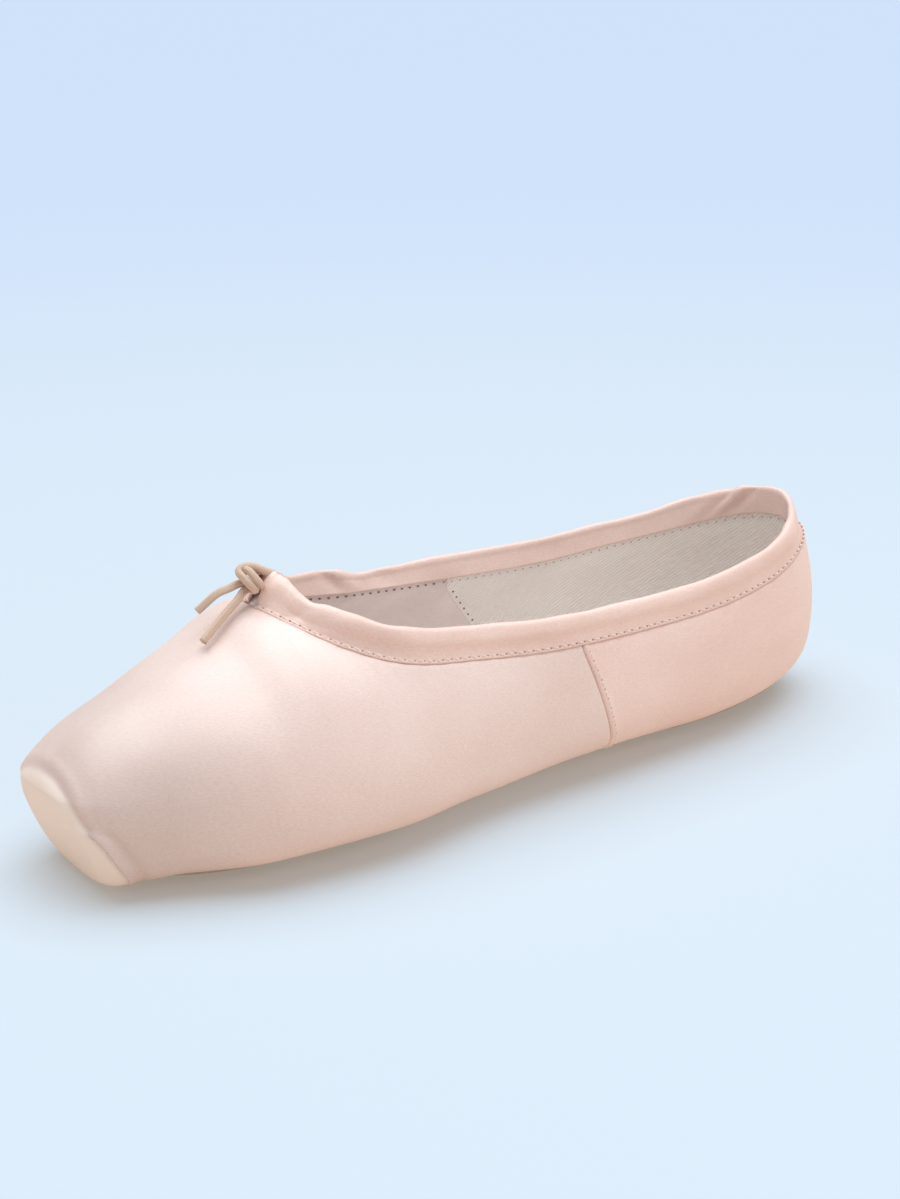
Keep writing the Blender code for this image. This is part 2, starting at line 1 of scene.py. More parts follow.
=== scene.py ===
"""Looks of a satin pointe shoe: satin panels, casing, lining, stitching, sole and drawstring.

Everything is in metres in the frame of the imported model: the toe points to -Y, the floor is
Z = 0 and +X is the side nearest to the camera.
"""
from collections import namedtuple
from math import cos, pi, radians, sin
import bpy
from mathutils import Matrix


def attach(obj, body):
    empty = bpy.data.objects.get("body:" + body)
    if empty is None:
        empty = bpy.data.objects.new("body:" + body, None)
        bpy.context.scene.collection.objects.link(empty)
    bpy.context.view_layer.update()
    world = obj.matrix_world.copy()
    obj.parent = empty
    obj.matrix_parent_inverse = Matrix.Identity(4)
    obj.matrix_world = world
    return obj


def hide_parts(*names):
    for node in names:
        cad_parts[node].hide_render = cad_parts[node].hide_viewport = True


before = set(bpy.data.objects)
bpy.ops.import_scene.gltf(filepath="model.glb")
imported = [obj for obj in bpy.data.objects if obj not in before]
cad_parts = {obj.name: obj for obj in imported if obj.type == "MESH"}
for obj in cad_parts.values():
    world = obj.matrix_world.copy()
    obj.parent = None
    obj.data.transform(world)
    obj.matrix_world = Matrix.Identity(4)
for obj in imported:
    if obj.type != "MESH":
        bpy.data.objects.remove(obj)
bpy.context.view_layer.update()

from types import SimpleNamespace

import bmesh
import bpy
import numpy as np
from bpy.props import FloatProperty, FloatVectorProperty, PointerProperty
from mathutils import Vector

bl_info = {
    "name": "Pointe Shoe Looks",
    "version": (1, 0, 0),
    "blender": (4, 5, 0),
    "location": "View3D > Sidebar > Pointe Shoe",
    "description": "Satin, casing, lining, stitching, sole and drawstring of a pointe shoe",
    "category": "Object",
}

# Sizes of the last, the collar and the layers.
LENGTH = 0.235
BALL_WIDTH = 0.0784
WAIST_WIDTH = 0.0666
HEEL_WIDTH = 0.0643
HEEL_ROUND = 0.0655
PLATFORM_WIDTH = 0.0353
PLATFORM_HEIGHT = 0.0288
PLATFORM_SETBACK = 0.0094
PLATFORM_EDGE = 0.0041
SETBACK_LENGTH = 0.045
TOE_CLEARANCE = 0.0008
ARCH_RISE = 0.0015
VAMP_LENGTH = 0.0572
THROAT_HEIGHT = 0.0565
THROAT_ROUND = 0.0408
SIDE_HEIGHT = 0.0387
HEEL_HEIGHT = 0.0465
BOX_WALL = 0.0026
BOX_LENGTH = 0.036
QUARTER_WALL = 0.0016
CLEARANCE = 0.0003
CASING_WIDTH = 0.0088
CASING_WALL = 0.0008
CASING_PROUD = 0.0003
CASING_LIP = 0.0010
CASING_FRONT_GAP = 0.0030
SOLE_WALL = 0.0020
SOLE_EDGE = 0.0011
SOLE_FRONT = 0.0150
SOLE_FRONT_ROUND = 0.0180
SOLE_LAP = 0.0055
SOLE_SKIVE = 0.0080
INSOLE_WALL = 0.0015
INSOLE_FRONT = 0.0170
INSOLE_FRONT_ROUND = 0.0220
CORD_DIAMETER = 0.0019
KNOT_AHEAD = 0.0050
KNOT_RISE = 0.0009
STEP_START = 0.0026
STEP_DEPTH = CASING_WALL + CLEARANCE - CASING_PROUD
HEEL_START = LENGTH - HEEL_ROUND
SOLE_HEIGHT = SOLE_WALL + CLEARANCE
FOLD_RADIUS = QUARTER_WALL / 2 + CLEARANCE + CASING_WALL / 2
FOLD_PINCH = 0.6

# Cloth layers of the upper, and the side seam between the vamp and the quarters.
SATIN_THICK = 0.0005
LINING_THICK = 0.0004
LINING_RISE = 0.0008
INNER_STITCH_DROP = 0.0018
INNER_THREAD_CHANGE = 0.44
INNER_RISE = 0.0015
INNER_SWELL = 0.0010
SEAM_STATION = 0.1320
SEAM_DEPTH = 0.00055
SEAM_WIDTH = 0.00030
SEAM_SLANT = 0.33
LINING_SEAM_SLANT = 0.74
LINING_SEAM_DROP = 0.015
SEAM_REACH = 0.030
SEAM_COLUMNS = np.array([0.00015, 0.0003, 0.0005, 0.0008, 0.0012, 0.0017, 0.0023, 0.0030])

# Rows of the satin under the casing: distance below the stitch line and height over the last.
TUCK = ((0.0014, 0.0), (0.0010, -0.0003), (0.0003, -0.0007))

# Grid of the upper: columns along the shoe and rows up its side.
EDGE_COLUMNS = 16
TOE_COLUMNS = 38
TOE_REACH = 0.0145
FRONT_COLUMNS = 38
COLLAR_COLUMNS = 220
LOWER_ROWS = 36
UPPER_ROWS = 42
CONTOUR_SAMPLES = 72
LINING_GRID = (30, 110, 16, 24)
SEAM_GRID = (30, 220, 16, 24)
CASING_COLUMNS = 330
FAR_END_CUT = 3
PLATFORM_RINGS = 22
PLATFORM_CROWN = 0.0004
TREAD_COLUMNS = 90
CORD_SIDES = 20
CORD_SPACING = 0.0004
FLOOR_GAP = 0.0003
MIDDLE_SNAP = 0.00001
WELD_GAP = 0.000002
HALF_PI = pi / 2
TINY = 1e-9

Frame = namedtuple("Frame", "stitch down normal band inward fold run")
Crease = namedtuple("Crease", "start end width depth")
Pucker = namedtuple("Pucker", "side low high width depth")
Wave = namedtuple("Wave", "side place width rise")
Ridge = namedtuple("Ridge", "place width height")
Gather = namedtuple("Gather", "pitch drift slow height")
Cloth = namedtuple("Cloth", "roughness sheen pitch cloud grain depth")
Route = namedtuple("Route", "side back up")

# Woven cloths besides the satin: gloss, sheen, thread pitch, cloud size, contrast and height.
TWILL = Cloth(0.85, 0.2, 0.0004, 0.020, 0.04, 0.00003)
VAMP_LINING = Cloth(0.80, 0.2, 0.0003, 0.015, 0.05, 0.00003)
INSOLE_CLOTH = Cloth(0.85, 0.2, 0.0004, 0.020, 0.06, 0.00005)
SATIN_CLOUD = 0.030
SATIN_TINT = (1.0, 0.93, 0.90, 1)
GLOSS_SWING = 0.05


class Spread:
    """Smooth values over stations, without overshoot between the rows of a table."""

    def __init__(self, stations, values):
        self.stations = np.array(stations, float)
        self.values = np.array(values, float)
        spans = np.diff(self.stations)
        slopes = np.diff(self.values) / spans
        tangents = np.concatenate([slopes[:1], (slopes[:-1] + slopes[1:]) / 2, slopes[-1:]])
        for i in range(1, len(stations) - 1):
            before, after = slopes[i - 1], slopes[i]
            if before * after <= 0:
                tangents[i] = 0
                continue
            first = 2 * spans[i] + spans[i - 1]
            second = spans[i] + 2 * spans[i - 1]
            tangents[i] = (first + second) / (first / before + second / after)
        self.spans = spans
        self.tangents = tangents

    def __call__(self, at):
        at = np.clip(at, self.stations[0], self.stations[-1])
        i = np.minimum(np.searchsorted(self.stations, at, side="right") - 1, len(self.spans) - 1)
        t = (at - self.stations[i]) / self.spans[i]
        rest = 1 - t
        ends = (1 + 2 * t) * rest ** 2 * self.values[i] + t * t * (3 - 2 * t) * self.values[i + 1]
        bends = t * rest ** 2 * self.tangents[i] - t * t * rest * self.tangents[i + 1]
        return ends + bends * self.spans[i]


def table(names, *rows):
    """Table whose first column is the station; every other named column becomes a Spread."""
    stations = [row[0] for row in rows]
    columns = {}
    for k, name in enumerate(names.split()):
        columns[name] = Spread(stations, [row[k + 1] for row in rows])
    return SimpleNamespace(**columns, last=rows[-1])


# Share of each width in the plan, by share of the way from the toe to the heel's round.
PLAN = table(
    "platform ball waist heel",
    (0.000, 1.00, 0.00, 0.00, 0.00),
    (0.118, 0.63, 0.37, 0.00, 0.00),
    (0.266, 0.12, 0.88, 0.00, 0.00),
    (0.443, 0.00, 1.00, 0.00, 0.00),
    (0.590, 0.00, 0.34, 0.66, 0.00),
    (0.797, 0.00, 0.00, 1.00, 0.00),
    (1.000, 0.00, 0.00, 0.00, 1.00),
)
# Crown of the vamp: share of the rise from the platform to the throat.
VAMP = table("rise", (0, 0), (0.21, 0.29), (0.49, 0.50), (0.79, 0.77), (0.92, 0.94), (1, 1))
# Height of the widest point as a share of the side's height, and how square a section is.
FORM = table(
    "widest top_power bottom_power",
    (0.00, 0.29, 2.24, 2.55),
    (0.13, 0.39, 1.98, 2.87),
    (0.20, 0.44, 1.86, 2.87),
    (0.42, 0.47, 1.86, 2.87),
    (0.68, 0.54, 1.86, 2.87),
    (0.85, 0.57, 1.86, 2.87),
    (1.00, 0.63, 1.86, 2.87),
)
# Bottom line: share of the sole's height and of the arch, by share of the length.
BOTTOM = table(
    "sole arch",
    (0.00, 0.0, 0.0),
    (0.02, 0.0, 0.0),
    (0.06, 0.6, 0.0),
    (0.10, 1.0, 0.0),
    (0.42, 1.0, 0.0),
    (0.60, 1.0, 1.0),
    (0.77, 1.0, 0.0),
    (1.00, 1.0, 0.0),
)
# Collar stitch line: share of the half width, and height as shares of the throat and heel rise.
COLLAR = table(
    "opening throat heel",
    (0.00, 0.70, 1.00, 0.00),
    (0.07, 0.74, 0.61, 0.00),
    (0.13, 0.75, 0.39, 0.00),
    (0.20, 0.76, 0.25, 0.00),
    (0.42, 0.89, 0.05, 0.00),
    (0.62, 0.88, 0.00, 0.00),
    (0.81, 0.88, 0.00, 0.25),
    (1.00, 0.88, 0.00, 1.00),
)
# Band above the stitch line: its lean in degrees and its share of the casing's width.
BAND = table(
    "lean width",
    (0.00, 36.0, 1.00),
    (0.04, 30.0, 0.90),
    (0.14, 17.0, 0.84),
    (0.60, 16.5, 0.84),
    (0.85, 14.2, 0.92),
    (1.00, 14.2, 1.00),
)
# Edge of the outsole and of the insole as shares of the last's half width.
TREAD = table(
    "outsole insole",
    (0.00, 0.62, 0.64),
    (0.17, 0.64, 0.68),
    (0.32, 0.62, 0.74),
    (0.42, 0.56, 0.74),
    (0.57, 0.46, 0.74),
    (0.72, 0.56, 0.76),
    (0.87, 0.68, 0.78),
    (1.00, 0.82, 0.82),
)
COLLAR_END = LENGTH - HEEL_WIDTH / 2 * (1 - COLLAR.last[1])

# Soft creases of the satin: where each starts and ends, its width and its depth.
CREASES = (
    Crease((0.0350, -0.0300, 0.0200), (0.0340, 0.0050, 0.0120), 0.0060, -0.0003),
    Crease((0.0320, 0.0300, 0.0300), (0.0310, 0.0600, 0.0220), 0.0080, -0.0003),
    Crease((-0.0320, 0.0000, 0.0330), (-0.0320, 0.0150, 0.0150), 0.0060, -0.0004),
    Crease((-0.0320, 0.0350, 0.0300), (-0.0300, 0.0650, 0.0200), 0.0080, -0.0004),
    Crease((0.0240, 0.0900, 0.0320), (0.0120, 0.1100, 0.0180), 0.0070, -0.0004),
    Crease((-0.0240, 0.0880, 0.0300), (-0.0100, 0.1120, 0.0200), 0.0070, -0.0004),
)
CREASE_END = 0.35

# Edge of the stretched platform and the pleat below it: station of the line by height.
EDGE_LINE = Spread((0.0, 0.0063, 0.0101, 0.0130, 0.0176, 0.0190, 0.0220, 0.0290),
                   (0.0076, 0.0061, 0.0046, 0.0037, 0.0023, 0.0013, 0.0009, 0.0012))
# Width over which the painted light on the platform fades out at this line.
PLATFORM_LIGHT_FADE = 0.0005
# Painted shade over the box: where it starts to fade, and over what length.
BOX_SHADE_START = 0.015
BOX_SHADE_LENGTH = 0.032
EDGE_TROUGHS = (Ridge(0.0003, 0.0010, -0.00095), Ridge(0.0026, 0.0028, -0.00045))
PLEAT_TOP = 0.0188
PLEAT_BLEND = 0.002
PLEAT_FOOT = 0.002
PLEAT_FOOT_RISE = 0.005
PLEAT_LIP = 0.0008
PLEAT_LIP_WIDTH = 0.0020
LIP_TROUGHS = (Ridge(-0.0002, 0.0003, -0.00040), Ridge(0.0036, 0.0018, -0.00065))
FAR_PLEAT = 0.3
FAR_PLEAT_BLEND = 0.010

# Fan of small pleats under the toe.
PLEAT_CENTRE = (0.0, -0.0925)
PLEAT_COUNT = 22
PLEAT_DRIFT = 0.35
PLEAT_DEPTH = 0.0005
PLEAT_SINK = 0.25
PLEAT_START = 0.012
PLEAT_FADE = 0.0105
PLEAT_AHEAD = 0.004
PLEAT_LOW = 0.001
PLEAT_LOW_FADE = 0.005

# Satin gathered below the casing, and the raised margin behind the side seam.
SEAM_MARGIN = Ridge(0.0011, 0.0009, 0.00022)
TUCK_GATHER = Gather(0.0052, 1.7, 0.011, 0.00006)
TUCK_GATHER_REACH = 0.004

# Puckers across the casing (share of the collar's half length) and waves of its folded edge.
PUCKERS = (
    Pucker(1, -0.012, 0.060, 0.010, 0.0005),
    Pucker(1, 0.042, 0.100, 0.010, -0.0007),
    Pucker(1, 0.085, 0.170, 0.014, 0.0003),
    Pucker(1, 0.150, 0.190, 0.018, -0.0003),
    Pucker(1, 0.300, 0.330, 0.022, 0.0003),
    Pucker(1, 0.440, 0.470, 0.020, -0.0003),
    Pucker(1, 0.600, 0.640, 0.022, 0.0003),
    Pucker(1, 0.780, 0.800, 0.022, -0.0004),
    Pucker(1, 0.860, 0.880, 0.018, 0.0005),
    Pucker(1, 0.950, 0.940, 0.016, -0.0005),
    Pucker(-1, 0.225, 0.265, 0.012, -0.0009),
    Pucker(-1, 0.255, 0.290, 0.014, 0.0008),
    Pucker(-1, 0.310, 0.350, 0.018, -0.0006),
    Pucker(-1, 0.430, 0.450, 0.024, 0.0004),
    Pucker(-1, 0.600, 0.620, 0.026, -0.0004),
    Pucker(-1, 0.945, 0.845, 0.016, 0.0007),
    Pucker(-1, 0.990, 0.880, 0.008, 0.0013),
    Pucker(-1, 1.014, 0.904, 0.012, -0.0011),
)
WAVES = (
    Wave(1, 0.065, 0.026, -0.0017),
    Wave(1, 0.200, 0.060, 0.0005),
    Wave(1, 0.620, 0.060, -0.0002),
    Wave(-1, 0.190, 0.022, -0.0006),
    Wave(-1, 0.248, 0.024, 0.0009),
    Wave(-1, 0.305, 0.026, -0.0009),
    Wave(-1, 0.365, 0.035, -0.0004),
    Wave(-1, 0.760, 0.050, -0.0007),
    Wave(-1, 0.845, 0.030, 0.0004),
    Wave(-1, 0.960, 0.040, 0.0004),
)

# Lean of the folded edge towards the opening, as waves along it.
LEANS = (
    Wave(1, 0.950, 0.070, 0.0022),
    Wave(-1, 1.000, 0.060, 0.0013),
)
# Channel of the cord inside the casing and the hollow below it, across the band.
CASING_CHANNEL = (Ridge(0.36, 0.09, 0.00030), Ridge(0.20, 0.08, -0.00035))
CASING_STITCH_DIP = Ridge(0.0003, 0.0006, -0.00022)
CASING_LEG_SHARE = 0.88
FRONT_GATHER = Gather(0.0031, 3, 0.009, 0.00018)
FRONT_GATHER_REACH = 0.035
UNEVEN_GATHER = Gather(0.0143, 3, 0.034, 0.00007)
UNEVEN_BEAT = 0.047

# Cords: points from the middle of the knot, in millimetres; the last ones are the free ends.
NEAR_CORD = (
    Route(1.7, 7.5, -1.0),
    Route(0.9, 5.0, 0.3),
    Route(0.6, 3.3, 1.3),
    Route(-0.2, 1.6, 2.2),
    Route(-0.9, -0.1, 2.5),
    Route(-1.3, -1.7, 2.0),
    Route(-0.5, -2.3, 1.3),
    Route(0.8, -2.0, 0.5),
    Route(2.0, -1.2, -0.9),
    Route(2.2, -0.1, -2.2),
    Route(1.2, 0.7, -3.0),
    Route(-0.5, 0.8, -2.6),
    Route(-1.7, -0.2, -1.9),
    Route(-1.8, -1.9, -1.7),
    Route(-1.9, -4.3, -2.3),
    Route(-2.4, -7.6, -3.3),
    Route(-4.0, -11.8, -7.0),
)
FAR_CORD = (
    Route(-1.7, 7.5, -1.0),
    Route(-1.7, 5.5, -0.1),
    Route(-2.0, 3.2, 0.5),
    Route(-2.4, 1.1, 0.7),
    Route(-1.6, -0.2, 1.1),
    Route(-0.2, -0.6, 1.9),
    Route(1.1, -0.4, 1.7),
    Route(2.3, 0.3, 0.3),
    Route(2.5, 1.3, -1.1),
    Route(1.5, 1.9, -2.1),
    Route(-0.6, 1.8, -2.8),
    Route(-1.1, 0.2, -3.2),
    Route(-0.5, -1.4, -3.3),
    Route(0.3, -3.7, -4.9),
    Route(1.0, -7.9, -7.7),
    Route(2.2, -14.1, -12.1),
)


def unit(vectors):
    return vectors / np.maximum(np.linalg.norm(vectors, axis=-1, keepdims=True), TINY)


def dot(first, second):
    return (first * second).sum(axis=-1, keepdims=True)


def ease(share):
    share = np.clip(share, 0, 1)
    return share * share * (3 - 2 * share)


def bell(distance, width):
    return np.exp(-((distance / width) ** 2))


def ridges_over(distance, ridges):
    """Height of soft ridges, or of troughs where their height is negative."""
    height = 0
    for ridge in ridges:
        height = height + ridge.height * bell(distance - ridge.place, ridge.width)
    return height


def gathers(gather, run):
    """Uneven waves along a line, between -1 and 1."""
    return np.sin(run / gather.pitch * 2 * pi + gather.drift * np.sin(run / gather.slow))


def waves_along(waves, share, side):
    """Sum of waves at shares of the collar's half length, each on its own side."""
    height = np.zeros(len(share))
    for wave in waves:
        height += np.where(side == wave.side, wave.rise * bell(share - wave.place, wave.width), 0)
    return height


def travel_along(line):
    """Distance of each point of a line from its start, along the line."""
    steps = np.linalg.norm(np.diff(line, axis=0), axis=1)
    return np.concatenate([[0], np.cumsum(steps)])


def rise_up(points):
    """Distance of each row of a grid of points from the first row, along its column."""
    steps = np.linalg.norm(np.diff(points, axis=1), axis=2)
    return np.concatenate([np.zeros((len(points), 1)), np.cumsum(steps, axis=1)], axis=1)


def points_at(wanted, travel, line):
    """Points of a line at wanted distances along it."""
    return np.stack([np.interp(wanted, travel, line[:, k]) for k in range(3)], axis=1)


def round_front(travel, length):
    """Quarter ellipse that opens from 0 to 1 over the given length."""
    share = np.clip(travel / length, 0, 1)
    return np.sqrt(1 - (1 - share) ** 2)


def half_width(along):
    share = np.minimum(along / HEEL_START, 1)
    width = PLATFORM_WIDTH * PLAN.platform(share) + BALL_WIDTH * PLAN.ball(share)
    width += WAIST_WIDTH * PLAN.waist(share) + HEEL_WIDTH * PLAN.heel(share)
    return width / 2


def bottom_height(reach):
    share = reach / LENGTH
    raised = (SOLE_HEIGHT - TOE_CLEARANCE) * BOTTOM.sole(share)
    return TOE_CLEARANCE + raised + ARCH_RISE * BOTTOM.arch(share)


def reach_of(along, turn):
    return along + HEEL_ROUND * np.cos(turn)


def collar_share(along):
    return (along - VAMP_LENGTH) / (COLLAR_END - VAMP_LENGTH)


def collar_height(along):
    share = collar_share(along)
    throat = (THROAT_HEIGHT - SIDE_HEIGHT) * COLLAR.throat(share)
    return SIDE_HEIGHT + throat + (HEEL_HEIGHT - SIDE_HEIGHT) * COLLAR.heel(share)


def collar_opening(along):
    return COLLAR.opening(collar_share(along)) * round_front(along - VAMP_LENGTH, THROAT_ROUND)


def crown_height(along, widest, power):
    """Top of the section; past the throat, the top that it would have if it were closed."""
    closed = PLATFORM_HEIGHT + (THROAT_HEIGHT - PLATFORM_HEIGHT) * VAMP.rise(along / VAMP_LENGTH)
    share = np.maximum(1 - collar_opening(along) ** power, TINY) ** (1 / power)
    return np.where(along <= VAMP_LENGTH, closed, widest + (collar_height(along) - widest) / share)


def section_at(along, turn):
    share = reach_of(along, turn) / LENGTH
    top_power = FORM.top_power(share)
    widest = SIDE_HEIGHT * FORM.widest(share)
    collar_along = along + (COLLAR_END - HEEL_START) * np.cos(turn)
    crown = crown_height(collar_along, widest, top_power)
    edge = np.minimum(along, PLATFORM_EDGE)
    inset = PLATFORM_EDGE - np.sqrt(PLATFORM_EDGE ** 2 - (PLATFORM_EDGE - edge) ** 2)
    bottom = bottom_height(reach_of(along, turn)) + inset / 2
    return SimpleNamespace(
        half_width=half_width(along) - inset, crown=crown - inset, widest=widest, bottom=bottom,
        top_power=top_power, bottom_power=FORM.bottom_power(share),
    )


def place(along, turn, across, height):
    """Point of the shoe for a place in a section; round the heel the sections fan out."""
    upright = 1 - (height - TOE_CLEARANCE) / (PLATFORM_HEIGHT - PLATFORM_EDGE - TOE_CLEARANCE)
    front = np.maximum(0, 1 - along / SETBACK_LENGTH) ** 1.5
    reach = along + PLATFORM_SETBACK * np.maximum(0, upright) * front
    fan = HEEL_START + (HEEL_ROUND - (HEEL_WIDTH / 2 - across)) * np.cos(turn)
    reach = np.where(turn < HALF_PI, fan, reach)
    return np.stack([across * np.sin(turn), reach - LENGTH / 2, height], axis=-1)


def surface(along, turn, angle):
    """Outer surface of the last: angle -90 degrees is the bottom's middle, 90 the crown."""
    along, turn, angle = np.broadcast_arrays(along, turn, angle)
    form = section_at(along, turn)
    side = np.maximum(np.cos(angle), 0)
    lift = np.abs(np.sin(angle))
    power = np.where(angle > 0, form.top_power, form.bottom_power)
    span = np.where(angle > 0, form.crown - form.widest, form.bottom - form.widest)
    across = form.half_width * side ** (2 / power)
    return place(along, turn, across, form.widest + span * lift ** (2 / power))


def under_angle(along, turn, across):
    form = section_at(along, turn)
    share = np.clip(across / form.half_width, 0, 1)
    return -np.arccos(share ** (form.bottom_power / 2))


def surface_normal(along, turn, angle):
    """Outward normal, from a short step up the section and one towards the toe."""
    along, turn, angle = np.broadcast_arrays(along, turn, angle)
    step = 0.02
    upward = surface(along, turn, np.minimum(angle + step / 2, HALF_PI))
    upward = upward - surface(along, turn, np.maximum(angle - step / 2, -HALF_PI))
    fanned = turn < HALF_PI
    ahead_along = np.where(fanned, along, np.maximum(along - LENGTH * 0.004, 0))
    ahead_turn = np.where(fanned, np.minimum(turn + step, HALF_PI), turn)
    here = surface(along, turn, angle)
    normal = np.cross(here - surface(ahead_along, ahead_turn, angle), upward)
    normal[..., 0] = np.where(here[..., 0] < 0.00001, 0, normal[..., 0])
    return unit(normal)


def collar_station(angle):
    """Station and section angle of the stitch line; 0 is the throat, 180 degrees the heel."""
    middle = (VAMP_LENGTH + COLLAR_END) / 2
    along = middle - (COLLAR_END - VAMP_LENGTH) / 2 * np.cos(angle)
    share = np.clip((along - HEEL_START) / (COLLAR_END - HEEL_START), 0, 1)
    turn = np.where(along > HEEL_START, np.arccos(share), HALF_PI)
    station = np.minimum(along, HEEL_START)
    power = section_at(station, turn).top_power
    rise = np.arccos(np.clip(collar_opening(along) ** (power / 2), 0, 1))
    return station, turn, rise, collar_share(along)


def collar_point(angle):
    mirrored = np.where((angle < 0) | (angle > pi), -1.0, 1.0)
    inside = np.where(angle <= pi, np.abs(angle), 2 * pi - angle)
    station, turn, rise, _ = collar_station(inside)
    points = surface(station, turn, rise)
    points[..., 0] *= mirrored
    return points


def collar_frame(angle):
    """Stitch line, the ways down the upper and out of it, and the band that rises to the fold."""
    station, turn, rise, share = collar_station(angle)
    stitch = collar_point(angle)
    step = 0.01
    run = unit(collar_point(angle + step) - collar_point(angle - step))
    normal = surface_normal(station, turn, rise)
    down = unit(np.cross(run, normal))
    inward = unit(np.stack([-run[..., 1], run[..., 0], np.zeros_like(share)], axis=-1))
    lean = np.radians(BAND.lean(share))[..., None]
    rising = inward * np.sin(lean) + np.array([0, 0, 1]) * np.cos(lean)
    fold = stitch + rising * (CASING_WIDTH * BAND.width(share))[..., None]
    band = unit(fold - stitch)
    across = unit(inward - band * dot(inward, band))
    centre = fold - band * (FOLD_RADIUS + CASING_WALL / 2)
    return Frame(stitch, down, normal, band, across, centre, run)


def crease_outward(rim):
    return (rim.normal - rim.inward) / (1 - dot(rim.normal, rim.inward))


def even_collar_angles(first, count):
    """Collar angles from the first one to the heel, evenly spaced along the stitch line."""
    fine = np.linspace(first, pi, 1200)
    travel = travel_along(collar_point(fine))
    return np.interp(np.linspace(0, travel[-1], count), travel, fine), travel[-1]


def with_seam_columns(angles):
    """Adds close columns on both sides of the side seam, with one on it."""
    middle = (VAMP_LENGTH + COLLAR_END) / 2
    half = (COLLAR_END - VAMP_LENGTH) / 2
    beside = SEAM_STATION + np.concatenate([-SEAM_COLUMNS[::-1], [0], SEAM_COLUMNS])
    added = np.arccos((middle - beside) / half)
    clear = (angles < added[0] - 0.004) | (angles > added[-1] + 0.004)
    return np.sort(np.concatenate([angles[clear], added]))


def collar_travel(rim):
    """Share of the way along the stitch line from the throat to the heel."""
    travel = travel_along(rim.stitch)
    return travel / travel[-1]


def collar_start(rim, along, turn):
    """Station and section angle of the satin's last row, just below the casing."""
    point = rim.stitch + rim.down * STEP_START
    fanned = turn < HALF_PI
    start = np.where(fanned, along, np.minimum(point[..., 1] + LENGTH / 2, HEEL_START))
    form = section_at(start, turn)
    up = np.clip((point[..., 2] - form.widest) / (form.crown - form.widest), 0, 1)
    out = np.clip(point[..., 0] / form.half_width, 0, 1)
    by_height = np.arcsin(up ** (form.top_power / 2))
    by_width = np.arccos(out ** (form.top_power / 2))
    return start, np.where(fanned, by_height, by_width)


def foot_along(along, angle, throat):
    """Station of a collar column at the feather edge, more evenly spaced than at the collar."""
    middle = (VAMP_LENGTH + COLLAR_END) / 2
    heel_angle = np.arccos((middle - HEEL_START) / (middle - VAMP_LENGTH))
    even = throat + (HEEL_START - throat) * np.minimum(angle / heel_angle, 1)
    return (along + even) / 2


def tread_half(along, turn, spread, front, front_round, square):
    """Half width of a sole piece at a station, with a blunt round front."""
    edge = spread(reach_of(along, turn) / LENGTH) * half_width(along)
    return edge * (square + (1 - square) * round_front(along - front, front_round))


def opening_half(along, turn):
    full = tread_half(along, turn, TREAD.outsole, SOLE_FRONT, SOLE_FRONT_ROUND, 1) - SOLE_LAP
    return full * round_front(along - SOLE_FRONT - SOLE_LAP, SOLE_FRONT_ROUND)


def wall_at(along):
    thinned = ease((along - BOX_LENGTH) / (VAMP_LENGTH - BOX_LENGTH))
    return BOX_WALL + (QUARTER_WALL - BOX_WALL) * thinned


def spread_angles(along, turn, first, last, shares):
    """Angles of each section at shares of the distance between two of its angles."""
    steps = np.linspace(0, 1, CONTOUR_SAMPLES)
    angles = first[:, None] + (last - first)[:, None] * steps
    travel = rise_up(surface(along[:, None], turn[:, None], angles))
    found = [np.interp(shares * row[-1], row, line) for row, line in zip(travel, angles)]
    return np.array(found)


def snap_to_middle(points):
    """Puts points that lie almost in the shoe's middle plane exactly in it."""
    points[np.abs(points[..., 0]) < MIDDLE_SNAP, 0] = 0


